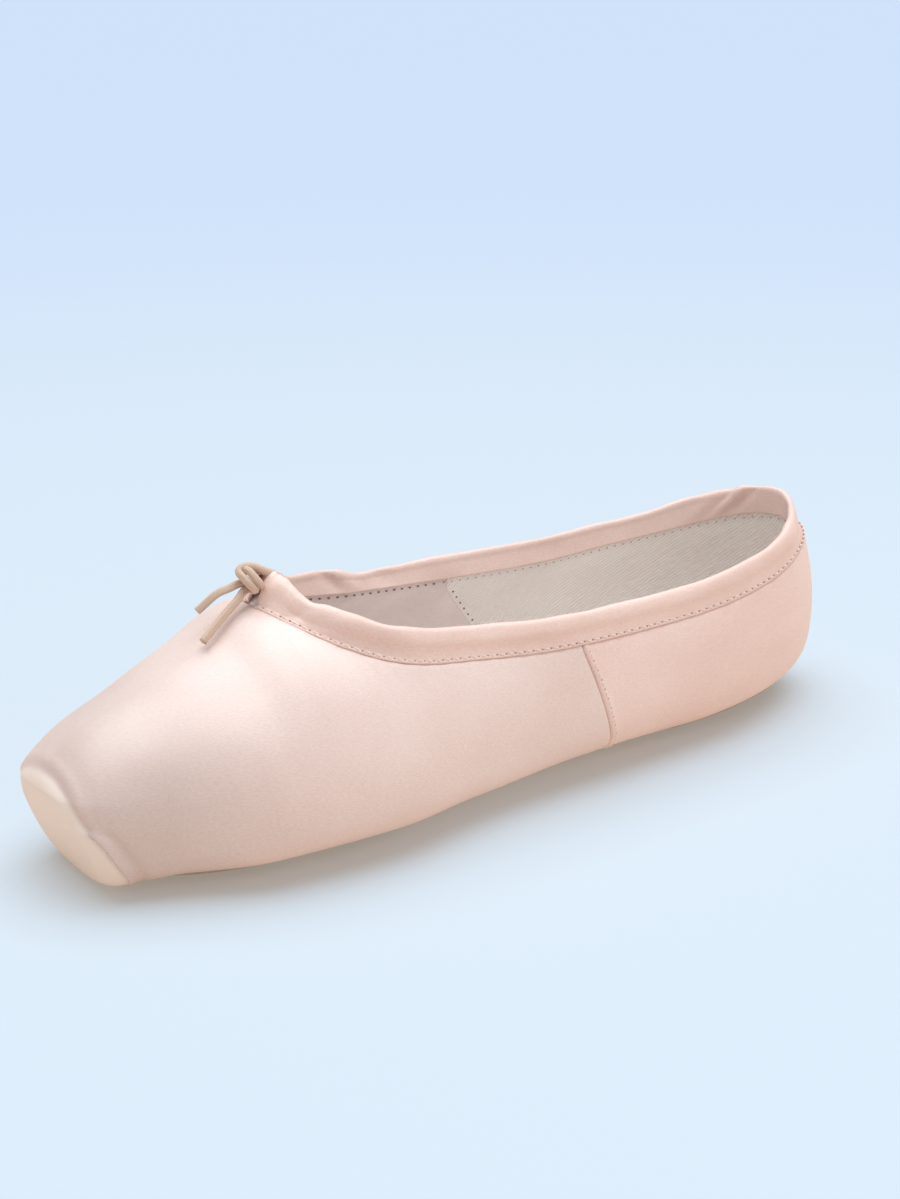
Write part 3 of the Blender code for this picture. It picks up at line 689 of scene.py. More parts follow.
class UpperGrid:
    """Half of the upper's outer surface as columns from the toe to the heel."""

    def __init__(self, front_columns, collar_columns, lower_rows, upper_rows, inner=False):
        angles = with_seam_columns(even_collar_angles(0.0, collar_columns)[0])
        rim = collar_frame(angles)
        top, turn, _, _ = collar_station(angles)
        start, last = collar_start(rim, top, turn)
        throat = start[0]
        edge = PLATFORM_EDGE * (1 - np.cos(np.linspace(0, HALF_PI, EDGE_COLUMNS)))
        toe = np.linspace(PLATFORM_EDGE, TOE_REACH, TOE_COLUMNS)[1:-1]
        front = np.concatenate([edge, toe, np.linspace(TOE_REACH, throat, front_columns)[:-1]])
        foot = np.concatenate([front, foot_along(start, angles, throat)])
        head = np.concatenate([front, start])
        turns = np.concatenate([np.full(len(front), HALF_PI), turn])
        last = np.concatenate([np.full(len(front), HALF_PI), last])
        holed = foot > SOLE_FRONT + SOLE_LAP
        first = np.where(holed, under_angle(foot, turns, opening_half(foot, turns)), -HALF_PI)
        lower_shares = 1 - (1 - np.linspace(0, 1, lower_rows)) ** 1.25
        upper_shares = np.linspace(0, 1, upper_rows)[1:]
        lower = spread_angles(foot, turns, first, np.zeros_like(foot), lower_shares)
        upper = spread_angles(head, turns, np.zeros_like(head), last, upper_shares)
        blend = np.concatenate([np.zeros(lower_rows), upper_shares])
        self.along = foot[:, None] + (head - foot)[:, None] * blend
        self.angle = np.concatenate([lower, upper], axis=1)
        self.turn = np.repeat(turns[:, None], self.angle.shape[1], axis=1)
        self.rim = rim
        self.share = collar_travel(rim)
        self.front = len(front)
        self.slant_to_seam(inner)
        self.points = surface(self.along, self.turn, self.angle)
        snap_to_middle(self.points)
        self.normals = surface_normal(self.along, self.turn, self.angle)
        self.normals[0] = unit(np.array([0, -PLATFORM_HEIGHT, -PLATFORM_SETBACK]))
        self.run = self.along + (HALF_PI - self.turn) * HEEL_WIDTH / 2
        self.rise = rise_up(self.points)

    def slant_to_seam(self, inner):
        """Moves the columns near the outer or the lining's seam, so that one of them follows it."""
        self.seam = int(np.argmin(np.abs(self.along[:, -1] - SEAM_STATION)))
        column = surface(self.along[self.seam], self.turn[self.seam], self.angle[self.seam])
        drop = column[-1, 2] - column[:, 2]
        line = SEAM_STATION + SEAM_SLANT * (drop + STEP_START / 3)
        if inner:
            drop = np.minimum(drop, LINING_SEAM_DROP)
            line = SEAM_STATION + LINING_SEAM_SLANT * (drop + STEP_START)
        shift = line - self.along[self.seam]
        gap = (self.along[:, -1:] - SEAM_STATION) / SEAM_REACH
        window = np.where(np.abs(gap) < 1, (1 + np.cos(pi * np.clip(gap, -1, 1))) / 2, 0)
        straight = self.turn[:, :1] >= HALF_PI
        moved = np.minimum(self.along + shift * window, HEEL_START)
        self.along = np.where(straight, moved, self.along)


def segment_distance(points, start, end):
    start, end = np.array(start), np.array(end)
    way = end - start
    share = np.clip(((points - start) @ way) / (way @ way), 0, 1)
    return np.linalg.norm(points - start - share[..., None] * way, axis=-1), share


def crease_depth(points):
    """Height of the satin's listed creases and dents over the plain surface."""
    height = np.zeros(points.shape[:-1])
    for crease in CREASES:
        distance, share = segment_distance(points, crease.start, crease.end)
        fade = CREASE_END + (1 - CREASE_END) * np.sin(pi * np.clip(share, 0.12, 0.88))
        height += crease.depth * bell(distance, crease.width) * fade
    return height


def edge_gap(along, height):
    """Signed distance behind the line where the stretched platform ends."""
    return along - EDGE_LINE(height)


def toe_folds(along, height):
    """Trough along the platform's edge, and the lip of the big pleat below it."""
    gap = edge_gap(along, height)
    upper = ease((height - PLEAT_TOP) / PLEAT_BLEND + 0.5)
    lower = (1 - upper) * ease((height - PLEAT_FOOT) / PLEAT_FOOT_RISE)
    lip = np.where(gap > 0, PLEAT_LIP * np.exp(-gap / PLEAT_LIP_WIDTH), 0)
    lip = lip + ridges_over(gap, LIP_TROUGHS)
    return upper * ridges_over(gap, EDGE_TROUGHS) + lower * lip


def pleat_depth(points, normals):
    """Pleats under the toe, which fan out from the sole's round front."""
    across = points[..., 0] - PLEAT_CENTRE[0]
    ahead = PLEAT_CENTRE[1] - points[..., 1]
    turn = np.arctan2(across, ahead)
    far = np.hypot(across, ahead)
    phase = turn * PLEAT_COUNT / pi + PLEAT_DRIFT * np.sin(3 * turn)
    saw = phase - np.floor(phase)
    fold = saw ** 3 - PLEAT_SINK
    facing_down = ease((0.35 - normals[..., 2]) / 0.6)
    under = facing_down * ease(ahead / PLEAT_AHEAD + 1)
    near = ease(1 - (far - PLEAT_START) / PLEAT_FADE)
    low = ease(1 - (points[..., 2] - PLEAT_LOW) / PLEAT_LOW_FADE)
    return PLEAT_DEPTH * fold * under * near * low


def new_mesh_object(name, points, faces, weave=None):
    mesh = bpy.data.meshes.new(name)
    mesh.from_pydata(np.asarray(points).tolist(), [], faces)
    if weave is not None:
        layer = mesh.attributes.new("weave", "FLOAT_VECTOR", "POINT")
        layer.data.foreach_set("vector", np.asarray(weave, float).ravel())
    mesh.shade_smooth()
    made = bpy.data.objects.new(name, mesh)
    bpy.context.scene.collection.objects.link(made)
    return made


def weld(made):
    """Joins points that lie together and takes out faces without an area."""
    work = bmesh.new()
    work.from_mesh(made.data)
    bmesh.ops.remove_doubles(work, verts=work.verts, dist=WELD_GAP)
    bmesh.ops.dissolve_degenerate(work, edges=work.edges, dist=WELD_GAP)
    work.to_mesh(made.data)
    work.free()


def thicken(made, thickness, offset):
    shell = made.modifiers.new("cloth", "SOLIDIFY")
    shell.thickness = thickness
    shell.offset = offset


def dress(made, finish, slot, *nodes):
    """Gives a piece its material, its body and the model's nodes that it stands for; the slot is not
    used.
    """
    made.data.materials.clear()
    made.data.materials.append(finish)
    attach(made, "root")
    if nodes:
        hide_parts(*nodes)
    return made


def grid_faces(columns, rows, start=0, flip=False):
    at = start + np.arange(columns * rows).reshape(columns, rows)
    quads = np.stack([at[:-1, :-1], at[1:, :-1], at[1:, 1:], at[:-1, 1:]], axis=-1).reshape(-1, 4)
    return (quads[:, ::-1] if flip else quads).tolist()


def tube_faces(rings, sides, start=0):
    """Faces of a tube whose rings of points follow each other, with both ends closed."""
    faces = []
    for k in range(rings - 1):
        here, there = start + k * sides, start + (k + 1) * sides
        for s in range(sides):
            after = (s + 1) % sides
            faces.append((here + s, here + after, there + after, there + s))
    last = start + (rings - 1) * sides
    faces.append(range(start + sides - 1, start - 1, -1))
    faces.append(range(last, last + sides))
    return faces


# Materials


def add(tree, kind, **values):
    """Adds a node; keywords are its settings, and keys that start with in_ set input sockets."""
    made = tree.nodes.new(kind)
    for key, value in values.items():
        if key.startswith("in_"):
            made.inputs[key[3:].replace("_", " ")].default_value = value
        else:
            setattr(made, key, value)
    return made


def new_group(name, inputs, outputs):
    """Empty node group with named sockets, given as pairs of a name and a kind."""
    tree = bpy.data.node_groups.new(name, "ShaderNodeTree")
    for way, sockets in (("INPUT", inputs), ("OUTPUT", outputs)):
        for label, kind in sockets:
            tree.interface.new_socket(label, in_out=way, socket_type="NodeSocket" + kind)
    return tree, tree.nodes.new("NodeGroupInput"), tree.nodes.new("NodeGroupOutput")


def weave_group():
    """Grain of a woven cloth: a fine thread height and a slow change of tone."""
    if "cloth_grain" in bpy.data.node_groups:
        return bpy.data.node_groups["cloth_grain"]
    tree, source, target = new_group(
        "cloth_grain", (("Weave", "Vector"), ("Thread Pitch", "Float"), ("Cloud Size", "Float")),
        (("Height", "Float"), ("Tone", "Float")))
    link = tree.links.new
    longer = add(tree, "ShaderNodeMath", operation="MULTIPLY")
    longer.inputs[1].default_value = 3.2
    threads = add(tree, "ShaderNodeCombineXYZ")
    clouds = add(tree, "ShaderNodeCombineXYZ")
    link(source.outputs["Thread Pitch"], longer.inputs[0])
    link(longer.outputs[0], threads.inputs[0])
    for socket in threads.inputs[1:]:
        link(source.outputs["Thread Pitch"], socket)
    for socket in clouds.inputs:
        link(source.outputs["Cloud Size"], socket)
    for size, detail, roughness, label in ((threads, 2.0, 0.6, "Height"), (clouds, 3.0, 0.5, "Tone")):
        scaled = add(tree, "ShaderNodeVectorMath", operation="DIVIDE")
        noise = add(tree, "ShaderNodeTexNoise", in_Scale=1.0, in_Detail=detail, in_Roughness=roughness)
        link(source.outputs["Weave"], scaled.inputs[0])
        link(size.outputs[0], scaled.inputs[1])
        link(scaled.outputs[0], noise.inputs["Vector"])
        link(noise.outputs["Fac"], target.inputs[label])
    return tree


def speckle_group():
    """Darkens and lightens a colour with a fine mask, by an amount either way."""
    if "speckle" in bpy.data.node_groups:
        return bpy.data.node_groups["speckle"]
    tree, source, target = new_group(
        "speckle", (("Colour", "Color"), ("Mask", "Float"), ("Amount", "Float")),
        (("Colour", "Color"),))
    link = tree.links.new
    bright = add(tree, "ShaderNodeMapRange", in_From_Min=0.3, in_From_Max=0.7)
    for operation, limit in (("SUBTRACT", "To Min"), ("ADD", "To Max")):
        swing = add(tree, "ShaderNodeMath", operation=operation)
        swing.inputs[0].default_value = 1
        link(source.outputs["Amount"], swing.inputs[1])
        link(swing.outputs[0], bright.inputs[limit])
    scaled = add(tree, "ShaderNodeVectorMath", operation="SCALE")
    link(source.outputs["Mask"], bright.inputs["Value"])
    link(source.outputs["Colour"], scaled.inputs[0])
    link(bright.outputs["Result"], scaled.inputs["Scale"])
    link(scaled.outputs[0], target.inputs["Colour"])
    return tree


def start_material(name, roughness, sheen):
    made = bpy.data.materials.new(name)
    made.use_nodes = True
    tree = made.node_tree
    shader = tree.nodes["Principled BSDF"]
    shader.inputs["Roughness"].default_value = roughness
    shader.inputs["Sheen Weight"].default_value = sheen
    shader.inputs["Sheen Roughness"].default_value = 0.4
    return made, tree, shader


def tone_between(tree, factor, low, high, start=0.3, stop=0.7):
    """Colour ramp from the low to the high colour over a mask."""
    ramp = tree.nodes.new("ShaderNodeValToRGB")
    ramp.color_ramp.elements[0].position = start
    ramp.color_ramp.elements[0].color = (*low, 1)
    ramp.color_ramp.elements[1].position = stop
    ramp.color_ramp.elements[1].color = (*high, 1)
    tree.links.new(factor, ramp.inputs["Fac"])
    return ramp.outputs["Color"]


def speckle(tree, colour, mask, amount):
    """Places the speckle group in a material."""
    group = add(tree, "ShaderNodeGroup", node_tree=speckle_group())
    group.inputs["Amount"].default_value = amount
    tree.links.new(colour, group.inputs["Colour"])
    tree.links.new(mask, group.inputs["Mask"])
    return group.outputs["Colour"]


def grain(tree, weave, pitch, cloud):
    """Places the cloth grain group in a material."""
    group = add(tree, "ShaderNodeGroup", node_tree=weave_group(), in_Thread_Pitch=pitch,
                in_Cloud_Size=cloud)
    tree.links.new(weave, group.inputs["Weave"])
    return group


def mixed_colour(tree, factor, first, second):
    """Mix of two colours, each given as a socket or as a plain colour."""
    mixed = add(tree, "ShaderNodeMix", data_type="RGBA")
    tree.links.new(factor, mixed.inputs["Factor"])
    sockets = [socket for socket in mixed.inputs if socket.type == "RGBA"]
    for socket, colour in zip(sockets, (first, second)):
        if isinstance(colour, bpy.types.NodeSocket):
            tree.links.new(colour, socket)
        else:
            socket.default_value = (*colour, 1)
    return [socket for socket in mixed.outputs if socket.type == "RGBA"][0]


def bump(tree, shader, height, distance):
    node = add(tree, "ShaderNodeBump", in_Distance=distance, in_Strength=1.0)
    tree.links.new(height, node.inputs["Height"])
    tree.links.new(node.outputs["Normal"], shader.inputs["Normal"])


def cloth_material(name, low, high, cloth):
    """Woven cloth with a grain along its threads."""
    made, tree, shader = start_material(name, cloth.roughness, cloth.sheen)
    weave = add(tree, "ShaderNodeAttribute", attribute_name="weave")
    group = grain(tree, weave.outputs["Vector"], cloth.pitch, cloth.cloud)
    colour = tone_between(tree, group.outputs["Tone"], low, high)
    colour = speckle(tree, colour, group.outputs["Height"], cloth.grain)
    tree.links.new(colour, shader.inputs["Base Color"])
    bump(tree, shader, group.outputs["Height"], cloth.depth)
    return made, tree, shader, group


def platform_painted_light(tree, shader, lit_tone):
    """Painted light: a paler cream tone painted over the satin on the platform's face."""
    mask = add(tree, "ShaderNodeAttribute", attribute_name="platform_light")
    base = shader.inputs["Base Color"].links[0].from_socket
    mixed = mixed_colour(tree, mask.outputs["Fac"], base, lit_tone)
    tree.links.new(mixed, shader.inputs["Base Color"])


def box_painted_shade(tree, shader, amount):
    """Painted shade: darkens the satin's tone over the box, most at the toe."""
    mask = add(tree, "ShaderNodeAttribute", attribute_name="box")
    fade = add(tree, "ShaderNodeMapRange", in_To_Min=1, in_To_Max=1 - amount)
    scaled = add(tree, "ShaderNodeVectorMath", operation="SCALE")
    tree.links.new(mask.outputs["Fac"], fade.inputs["Value"])
    tree.links.new(shader.inputs["Base Color"].links[0].from_socket, scaled.inputs[0])
    tree.links.new(fade.outputs["Result"], scaled.inputs["Scale"])
    tree.links.new(scaled.outputs[0], shader.inputs["Base Color"])


def satin_material(name, low, high, settings, lit_tone=None):
    """Satin with a broad soft gloss; a lit tone makes it the vamp's, with painted light on the
    platform and painted shade over the box.
    """
    cloth = Cloth(settings.roughness, settings.sheen, settings.thread_pitch, SATIN_CLOUD,
                  settings.grain, settings.thread_depth)
    made, tree, shader, group = cloth_material(name, low, high, cloth)
    if lit_tone:
        box_painted_shade(tree, shader, settings.box_shade_depth)
        platform_painted_light(tree, shader, lit_tone)
    shader.inputs["Sheen Tint"].default_value = SATIN_TINT
    shader.inputs["IOR"].default_value = 1.6
    shader.inputs["Specular IOR Level"].default_value = 0.8
    rough = add(tree, "ShaderNodeMapRange", in_To_Min=settings.roughness - GLOSS_SWING,
                in_To_Max=settings.roughness + GLOSS_SWING)
    tree.links.new(group.outputs["Height"], rough.inputs["Value"])
    tree.links.new(rough.outputs["Result"], shader.inputs["Roughness"])
    return made


def wave_scale(pitch):
    """Scale of a wave texture whose bands have a given pitch."""
    return 2 * pi / (20 * pitch)


def twill_material(settings):
    """Cream twill with fine slanting ribs."""
    made, tree, shader, _ = cloth_material("twill_lining", settings.twill_low, settings.twill_high,
                                           TWILL)
    weave = add(tree, "ShaderNodeAttribute", attribute_name="weave")
    turned = add(tree, "ShaderNodeVectorRotate", rotation_type="Z_AXIS",
                 in_Angle=settings.rib_angle)
    tree.links.new(weave.outputs["Vector"], turned.inputs["Vector"])
    ribs = add(tree, "ShaderNodeTexWave", wave_profile="SIN", bands_direction="X",
               in_Scale=wave_scale(settings.rib_pitch), in_Distortion=0.4, in_Detail_Scale=0.3)
    tree.links.new(turned.outputs[0], ribs.inputs["Vector"])
    base = shader.inputs["Base Color"].links[0].from_socket
    tree.links.new(speckle(tree, base, ribs.outputs["Fac"], 0.06), shader.inputs["Base Color"])
    bump(tree, shader, ribs.outputs["Fac"], 0.00015)
    return made


def leather_material(settings):
    """Suede side of a thin leather sole, scuffed a little lighter in places."""
    made, tree, shader = start_material("sole_suede", 0.85, 0.15)
    place_node = add(tree, "ShaderNodeTexCoord")
    group = grain(tree, place_node.outputs["Object"], 0.0003, 0.012)
    colour = tone_between(tree, group.outputs["Tone"], settings.leather_low, settings.leather_high)
    colour = speckle(tree, colour, group.outputs["Height"], 0.12)
    tree.links.new(colour, shader.inputs["Base Color"])
    bump(tree, shader, group.outputs["Height"], 0.0001)
    return made


def cord_material(settings):
    """Round braid: crossing strands that run both ways round the cord."""
    made, tree, shader = start_material("braided_cord_finish", 0.75, 0.3)
    weave = add(tree, "ShaderNodeAttribute", attribute_name="weave")
    heights = []
    for angle in (radians(32), radians(-32)):
        turned = add(tree, "ShaderNodeVectorRotate", rotation_type="Z_AXIS", in_Angle=angle)
        tree.links.new(weave.outputs["Vector"], turned.inputs["Vector"])
        strands = add(tree, "ShaderNodeTexWave", wave_profile="SIN", bands_direction="Y",
                      in_Scale=wave_scale(settings.strand_pitch))
        tree.links.new(turned.outputs[0], strands.inputs["Vector"])
        heights.append(strands.outputs["Fac"])
    both = add(tree, "ShaderNodeMath", operation="MULTIPLY")
    tree.links.new(heights[0], both.inputs[0])
    tree.links.new(heights[1], both.inputs[1])
    colour = tone_between(tree, both.outputs[0], settings.cord_low, settings.cord_high, 0.0, 0.8)
    tree.links.new(colour, shader.inputs["Base Color"])
    bump(tree, shader, both.outputs[0], 0.00007)
    return made


def thread_material(name, colour):
    """Twisted sewing thread, a little uneven in tone."""
    made, tree, shader = start_material(name, 0.5, 0.3)
    place_node = add(tree, "ShaderNodeTexCoord")
    noise = add(tree, "ShaderNodeTexNoise", in_Scale=9000.0, in_Detail=1.0)
    tree.links.new(place_node.outputs["Object"], noise.inputs["Vector"])
    darker = tuple(c * 0.82 for c in colour)
    tone = tone_between(tree, noise.outputs["Fac"], darker, tuple(colour))
    tree.links.new(tone, shader.inputs["Base Color"])
    bump(tree, shader, noise.outputs["Fac"], 0.00004)
    return made


# Pieces


def satin_panels(settings):
    """The vamp and the two quarters, with their creases, pleats and seam."""
    grid = UpperGrid(FRONT_COLUMNS, COLLAR_COLUMNS, LOWER_ROWS, UPPER_ROWS)
    vamp = satin_material("satin_vamp_finish", settings.vamp_low, settings.vamp_high, settings,
                          settings.platform_lit_tone)
    quarter = satin_material("satin_quarter_finish", settings.quarter_low, settings.quarter_high,
                             settings)
    columns = len(grid.along)
    seam_gap = grid.run - grid.run[grid.seam]
    for side, label in ((1, "near"), (-1, "far")):
        flip = np.array([side, 1, 1])
        points, normals = grid.points * flip, grid.normals * flip
        height = crease_depth(points) + pleat_depth(points, normals)
        nearness = ease(points[..., 0] / FAR_PLEAT_BLEND + 0.5)
        nearness = FAR_PLEAT + (1 - FAR_PLEAT) * nearness
        height += toe_folds(grid.along, points[..., 2]) * nearness
        height -= SEAM_DEPTH * bell(seam_gap, SEAM_WIDTH)
        height += np.where(seam_gap > 0, ridges_over(seam_gap, [SEAM_MARGIN]), 0)
        below = grid.rise[:, -1:] - grid.rise
        collar_part = (np.arange(columns) >= grid.front)[:, None]
        ripple = TUCK_GATHER.height * gathers(TUCK_GATHER, grid.run[:, -1:])
        height += np.where(collar_part, ripple * bell(below, TUCK_GATHER_REACH), 0)
        moved = points + normals * height[..., None]
        moved[..., 2] = np.maximum(moved[..., 2], FLOOR_GAP)
        rim, lift = grid.rim, height[grid.front:, -1:]
        tuck = [rim.stitch + rim.down * low + rim.normal * (out + lift) for low, out in TUCK]
        tuck = np.stack(tuck, axis=1) * flip
        weave = np.stack([grid.run, grid.rise, np.full_like(grid.run, side * 0.1)], axis=-1)
        build_quarter(f"satin_quarter_{label}", moved, weave, grid, side, tuck, quarter)
        if side == 1:
            near = (moved, weave, tuck)
    build_vamp(near, (moved, weave, tuck), grid, vamp)


def with_tuck(points, weave, tuck, first, last, front):
    """Adds the rows that go in under the casing to the columns that end at the collar."""
    block = points[first:last]
    closed = np.repeat(block[:max(0, front - first), -1:], tuck.shape[1], axis=1)
    extra = np.concatenate([closed, tuck[max(0, first - front):last - front]])
    layers = weave[first:last]
    rises = np.array([[0, low, 0] for low, _ in TUCK])
    added = layers[:, -1:] + STEP_START * np.array([0, 1, 0]) - rises
    return np.concatenate([block, extra], axis=1), np.concatenate([layers, added], axis=1)


def build_quarter(name, points, weave, grid, side, tuck, finish):
    """One quarter, from the side seam to the middle of the heel."""
    block, layers = with_tuck(points, weave, tuck, grid.seam, len(points), grid.front)
    columns, rows = block.shape[:2]
    faces = grid_faces(columns, rows, 0, side < 0)
    made = new_mesh_object(name, block.reshape(-1, 3), faces, layers.reshape(-1, 3))
    weld(made)
    thicken(made, SATIN_THICK, -1)
    dress(made, finish, "pink_satin", "upper")


def build_vamp(near, far, grid, finish):
    """The vamp is one panel: both sides, the platform and the closed top."""
    points, weaves, faces, platform_lights, box_shades = [], [], [], [], []
    total = 0
    for (moved, weave, tuck), side in ((near, 1), (far, -1)):
        block, layers = with_tuck(moved, weave, tuck, 0, grid.seam + 1, grid.front)
        columns, rows = block.shape[:2]
        rim = block[0, :-1]
        middle = (rim[0] + rim[-1]) / 2 - np.array([0, PLATFORM_CROWN, 0])
        rings = []
        for share in np.linspace(0.04, 1, PLATFORM_RINGS)[:-1]:
            ring = middle + (block[0] - middle) * share
            ring[:, 1] -= PLATFORM_CROWN * (1 - share ** 2) / 2
            rings.append(ring)
        rings = np.array(rings)
        layer = np.full(rings.shape[:2], 0.3)
        ring_weave = np.stack([rings[..., 1] - rings[..., 2], rings[..., 0], layer], axis=-1)
        both = np.concatenate([rings, block])
        faces += grid_faces(len(both), rows, total, side < 0)
        points.append(both.reshape(-1, 3))
        weaves.append(np.concatenate([ring_weave, layers]).reshape(-1, 3))
        # Mask of the painted light on the platform: full on its face, fading out at its edge.
        gap = edge_gap(np.repeat(grid.along[:columns, :1], rows, 1), block[..., 2])
        fade = 1 - ease(gap / PLATFORM_LIGHT_FADE / 2 + 0.5)
        platform_light = np.concatenate([np.ones((len(rings), rows)), fade])
        platform_lights.append(np.append(platform_light.ravel(), 1.0))
        # Mask of the painted shade over the box: full at the toe, gone towards the throat.
        depth = 1 - ease((grid.along[:columns, 0] - BOX_SHADE_START) / BOX_SHADE_LENGTH)
        box_shades.append(np.append(np.repeat(np.append(np.ones(len(rings)), depth), rows), 1.0))
        total += both.shape[0] * rows
        hub = total
        points.append(middle[None])
        weaves.append(ring_weave[:1, 0])
        first = hub - both.shape[0] * rows
        for j in range(rows - 1):
            fan = [hub, first + j, first + j + 1]
            faces.append(fan if side > 0 else fan[::-1])
        total += 1
    made = new_mesh_object("satin_vamp", np.concatenate(points), faces, np.concatenate(weaves))
    for key, values in (("platform_light", platform_lights), ("box", box_shades)):
        layer = made.data.attributes.new(key, "FLOAT", "POINT")
        layer.data.foreach_set("value", np.concatenate(values))
    weld(made)
    thicken(made, SATIN_THICK, -1)
    dress(made, finish, "pink_satin", "upper")


def lining_panels(settings):
    """Smooth lining in the vamp and twill in the quarters, on the inside of the wall."""
    grid = UpperGrid(*LINING_GRID, inner=True)
    columns, rows = grid.along.shape
    wall = wall_at(grid.along)
    smooth = cloth_material("vamp_lining_finish", settings.vamp_lining_low,
                            settings.vamp_lining_high, VAMP_LINING)[0]
    twill = twill_material(settings)
    toe = int(np.argmax(grid.along[:, 0] > PLATFORM_EDGE + 0.0005))
    parts = {
        "vamp_lining": (toe, grid.seam + 1, smooth, 0.0),
        "quarter_lining": (grid.seam - 1, columns, twill, 0.0002),
    }
    for name, (first, last, finish, proud) in parts.items():
        points, weaves, faces = [], [], []
        total = 0
        for side in (1, -1):
            flip = np.array([side, 1, 1])
            inner = (grid.points - grid.normals * (wall + proud)[..., None]) * flip
            block = inner[first:last]
            tops = grid.rim.stitch + grid.rim.inward * (STEP_DEPTH + QUARTER_WALL + proud)
            tops = tops + grid.rim.band * (inner_rise(grid.share) + LINING_RISE)
            tops = tops[max(0, first - grid.front):last - grid.front] * flip
            tops = np.concatenate([block[:max(0, grid.front - first), -1], tops])
            block = np.concatenate([block, tops[:, None]], axis=1)
            weave = np.stack([grid.run, grid.rise, np.full_like(grid.run, side * 0.1)], axis=-1)
            weave = weave[first:last]
            weave = np.concatenate([weave, weave[:, -1:] + np.array([0, 0.004, 0])], axis=1)
            faces += grid_faces(block.shape[0], block.shape[1], total, side > 0)
            points.append(block.reshape(-1, 3))
            weaves.append(weave.reshape(-1, 3))
            total += block.shape[0] * block.shape[1]
        if first == toe:
            middle = (points[0][0] + points[0][rows - 1]) / 2
            points.append(middle[None])
            weaves.append(weaves[0][:1])
            for start in (0, total // 2):
                for j in range(rows - 1):
                    fan = [total, start + j, start + j + 1]
                    faces.append(fan[::-1] if start else fan)
        made = new_mesh_object(name, np.concatenate(points), faces, np.concatenate(weaves))
        weld(made)
        thicken(made, LINING_THICK, -1)
        dress(made, finish, "lining_cloth", "upper")


def full_collar(count):
    """Collar frames right round the opening, from the near front to the far front."""
    angles, length = even_collar_angles(front_angle(), count)
    half = collar_frame(angles)
    flip = np.array([-1, 1, 1])
    both = []
    for part in half:
        both.append(np.concatenate([part, part[-2::-1] * flip]))
    back_run = half.run[-2::-1] * np.array([1, -1, -1])
    turned = Frame(*both)._replace(run=np.concatenate([half.run, back_run]))
    share = np.linspace(0, 1, count)
    place_share = np.concatenate([share, share[-2::-1]])
    side = np.concatenate([np.ones(count), -np.ones(count - 1)])
    travel = np.linspace(0, 2 * length, 2 * count - 1)
    return turned, place_share, side, travel


def front_angle():
    """Collar angle at which each end of the casing stops."""
    middle = collar_opening(VAMP_LENGTH + THROAT_ROUND) * half_width(VAMP_LENGTH)
    span = (COLLAR_END - VAMP_LENGTH) / 2
    share = CASING_FRONT_GAP / 2 / middle
    return np.arccos(1 - THROAT_ROUND * (1 - np.sqrt(1 - share ** 2)) / span)


def inner_rise(place_share):
    """How far above the stitch line the casing's inner leg ends."""
    return (INNER_RISE + INNER_SWELL * bell(place_share - 0.30, 0.16))[:, None]


def casing_path(rim, place_share):
    """Middle of the casing's cloth, from its lower edge over the fold to its inner edge."""
    rest = CASING_PROUD - CASING_WALL / 2
    inner = QUARTER_WALL + CLEARANCE + CASING_WALL / 2
    outward = crease_outward(rim)
    lip = rim.stitch + rim.down * CASING_LIP + rim.normal * rest
    seat = rim.stitch + outward * rest
    first_fold = rim.fold - rim.inward * FOLD_RADIUS * FOLD_PINCH
    last_fold = rim.fold + rim.inward * FOLD_RADIUS * FOLD_PINCH
    end = rim.stitch + rim.inward * (STEP_DEPTH + inner) + rim.band * inner_rise(place_share)
    stops = []
    for share in (0, 0.5):
        stops.append(lip + (seat - lip) * share)
    for share in np.linspace(0, 1, 10)[:-1]:
        stops.append(seat + (first_fold - seat) * share)
    for turn in np.linspace(0, pi, 9)[:-1]:
        way = rim.band * sin(turn) - rim.inward * cos(turn) * FOLD_PINCH
        stops.append(rim.fold + way * FOLD_RADIUS)
    for share in np.linspace(0, 1, 10):
        stops.append(last_fold + (end - last_fold) * share)
    return np.stack(stops, axis=1)


def casing_relief(place_share, side, across):
    """Puckers of the gathered casing, as a height over its plain surface."""
    height = np.zeros(across.shape)
    legs = CASING_LEG_SHARE * np.abs(np.sin(2 * pi * across))
    legs += (1 - CASING_LEG_SHARE) * np.sin(pi * across)
    for pucker in PUCKERS:
        line = pucker.low + (pucker.high - pucker.low) * across
        shape = bell(place_share[:, None] - line, pucker.width)
        height += np.where(side[:, None] == pucker.side, pucker.depth * shape, 0)
    return height * legs


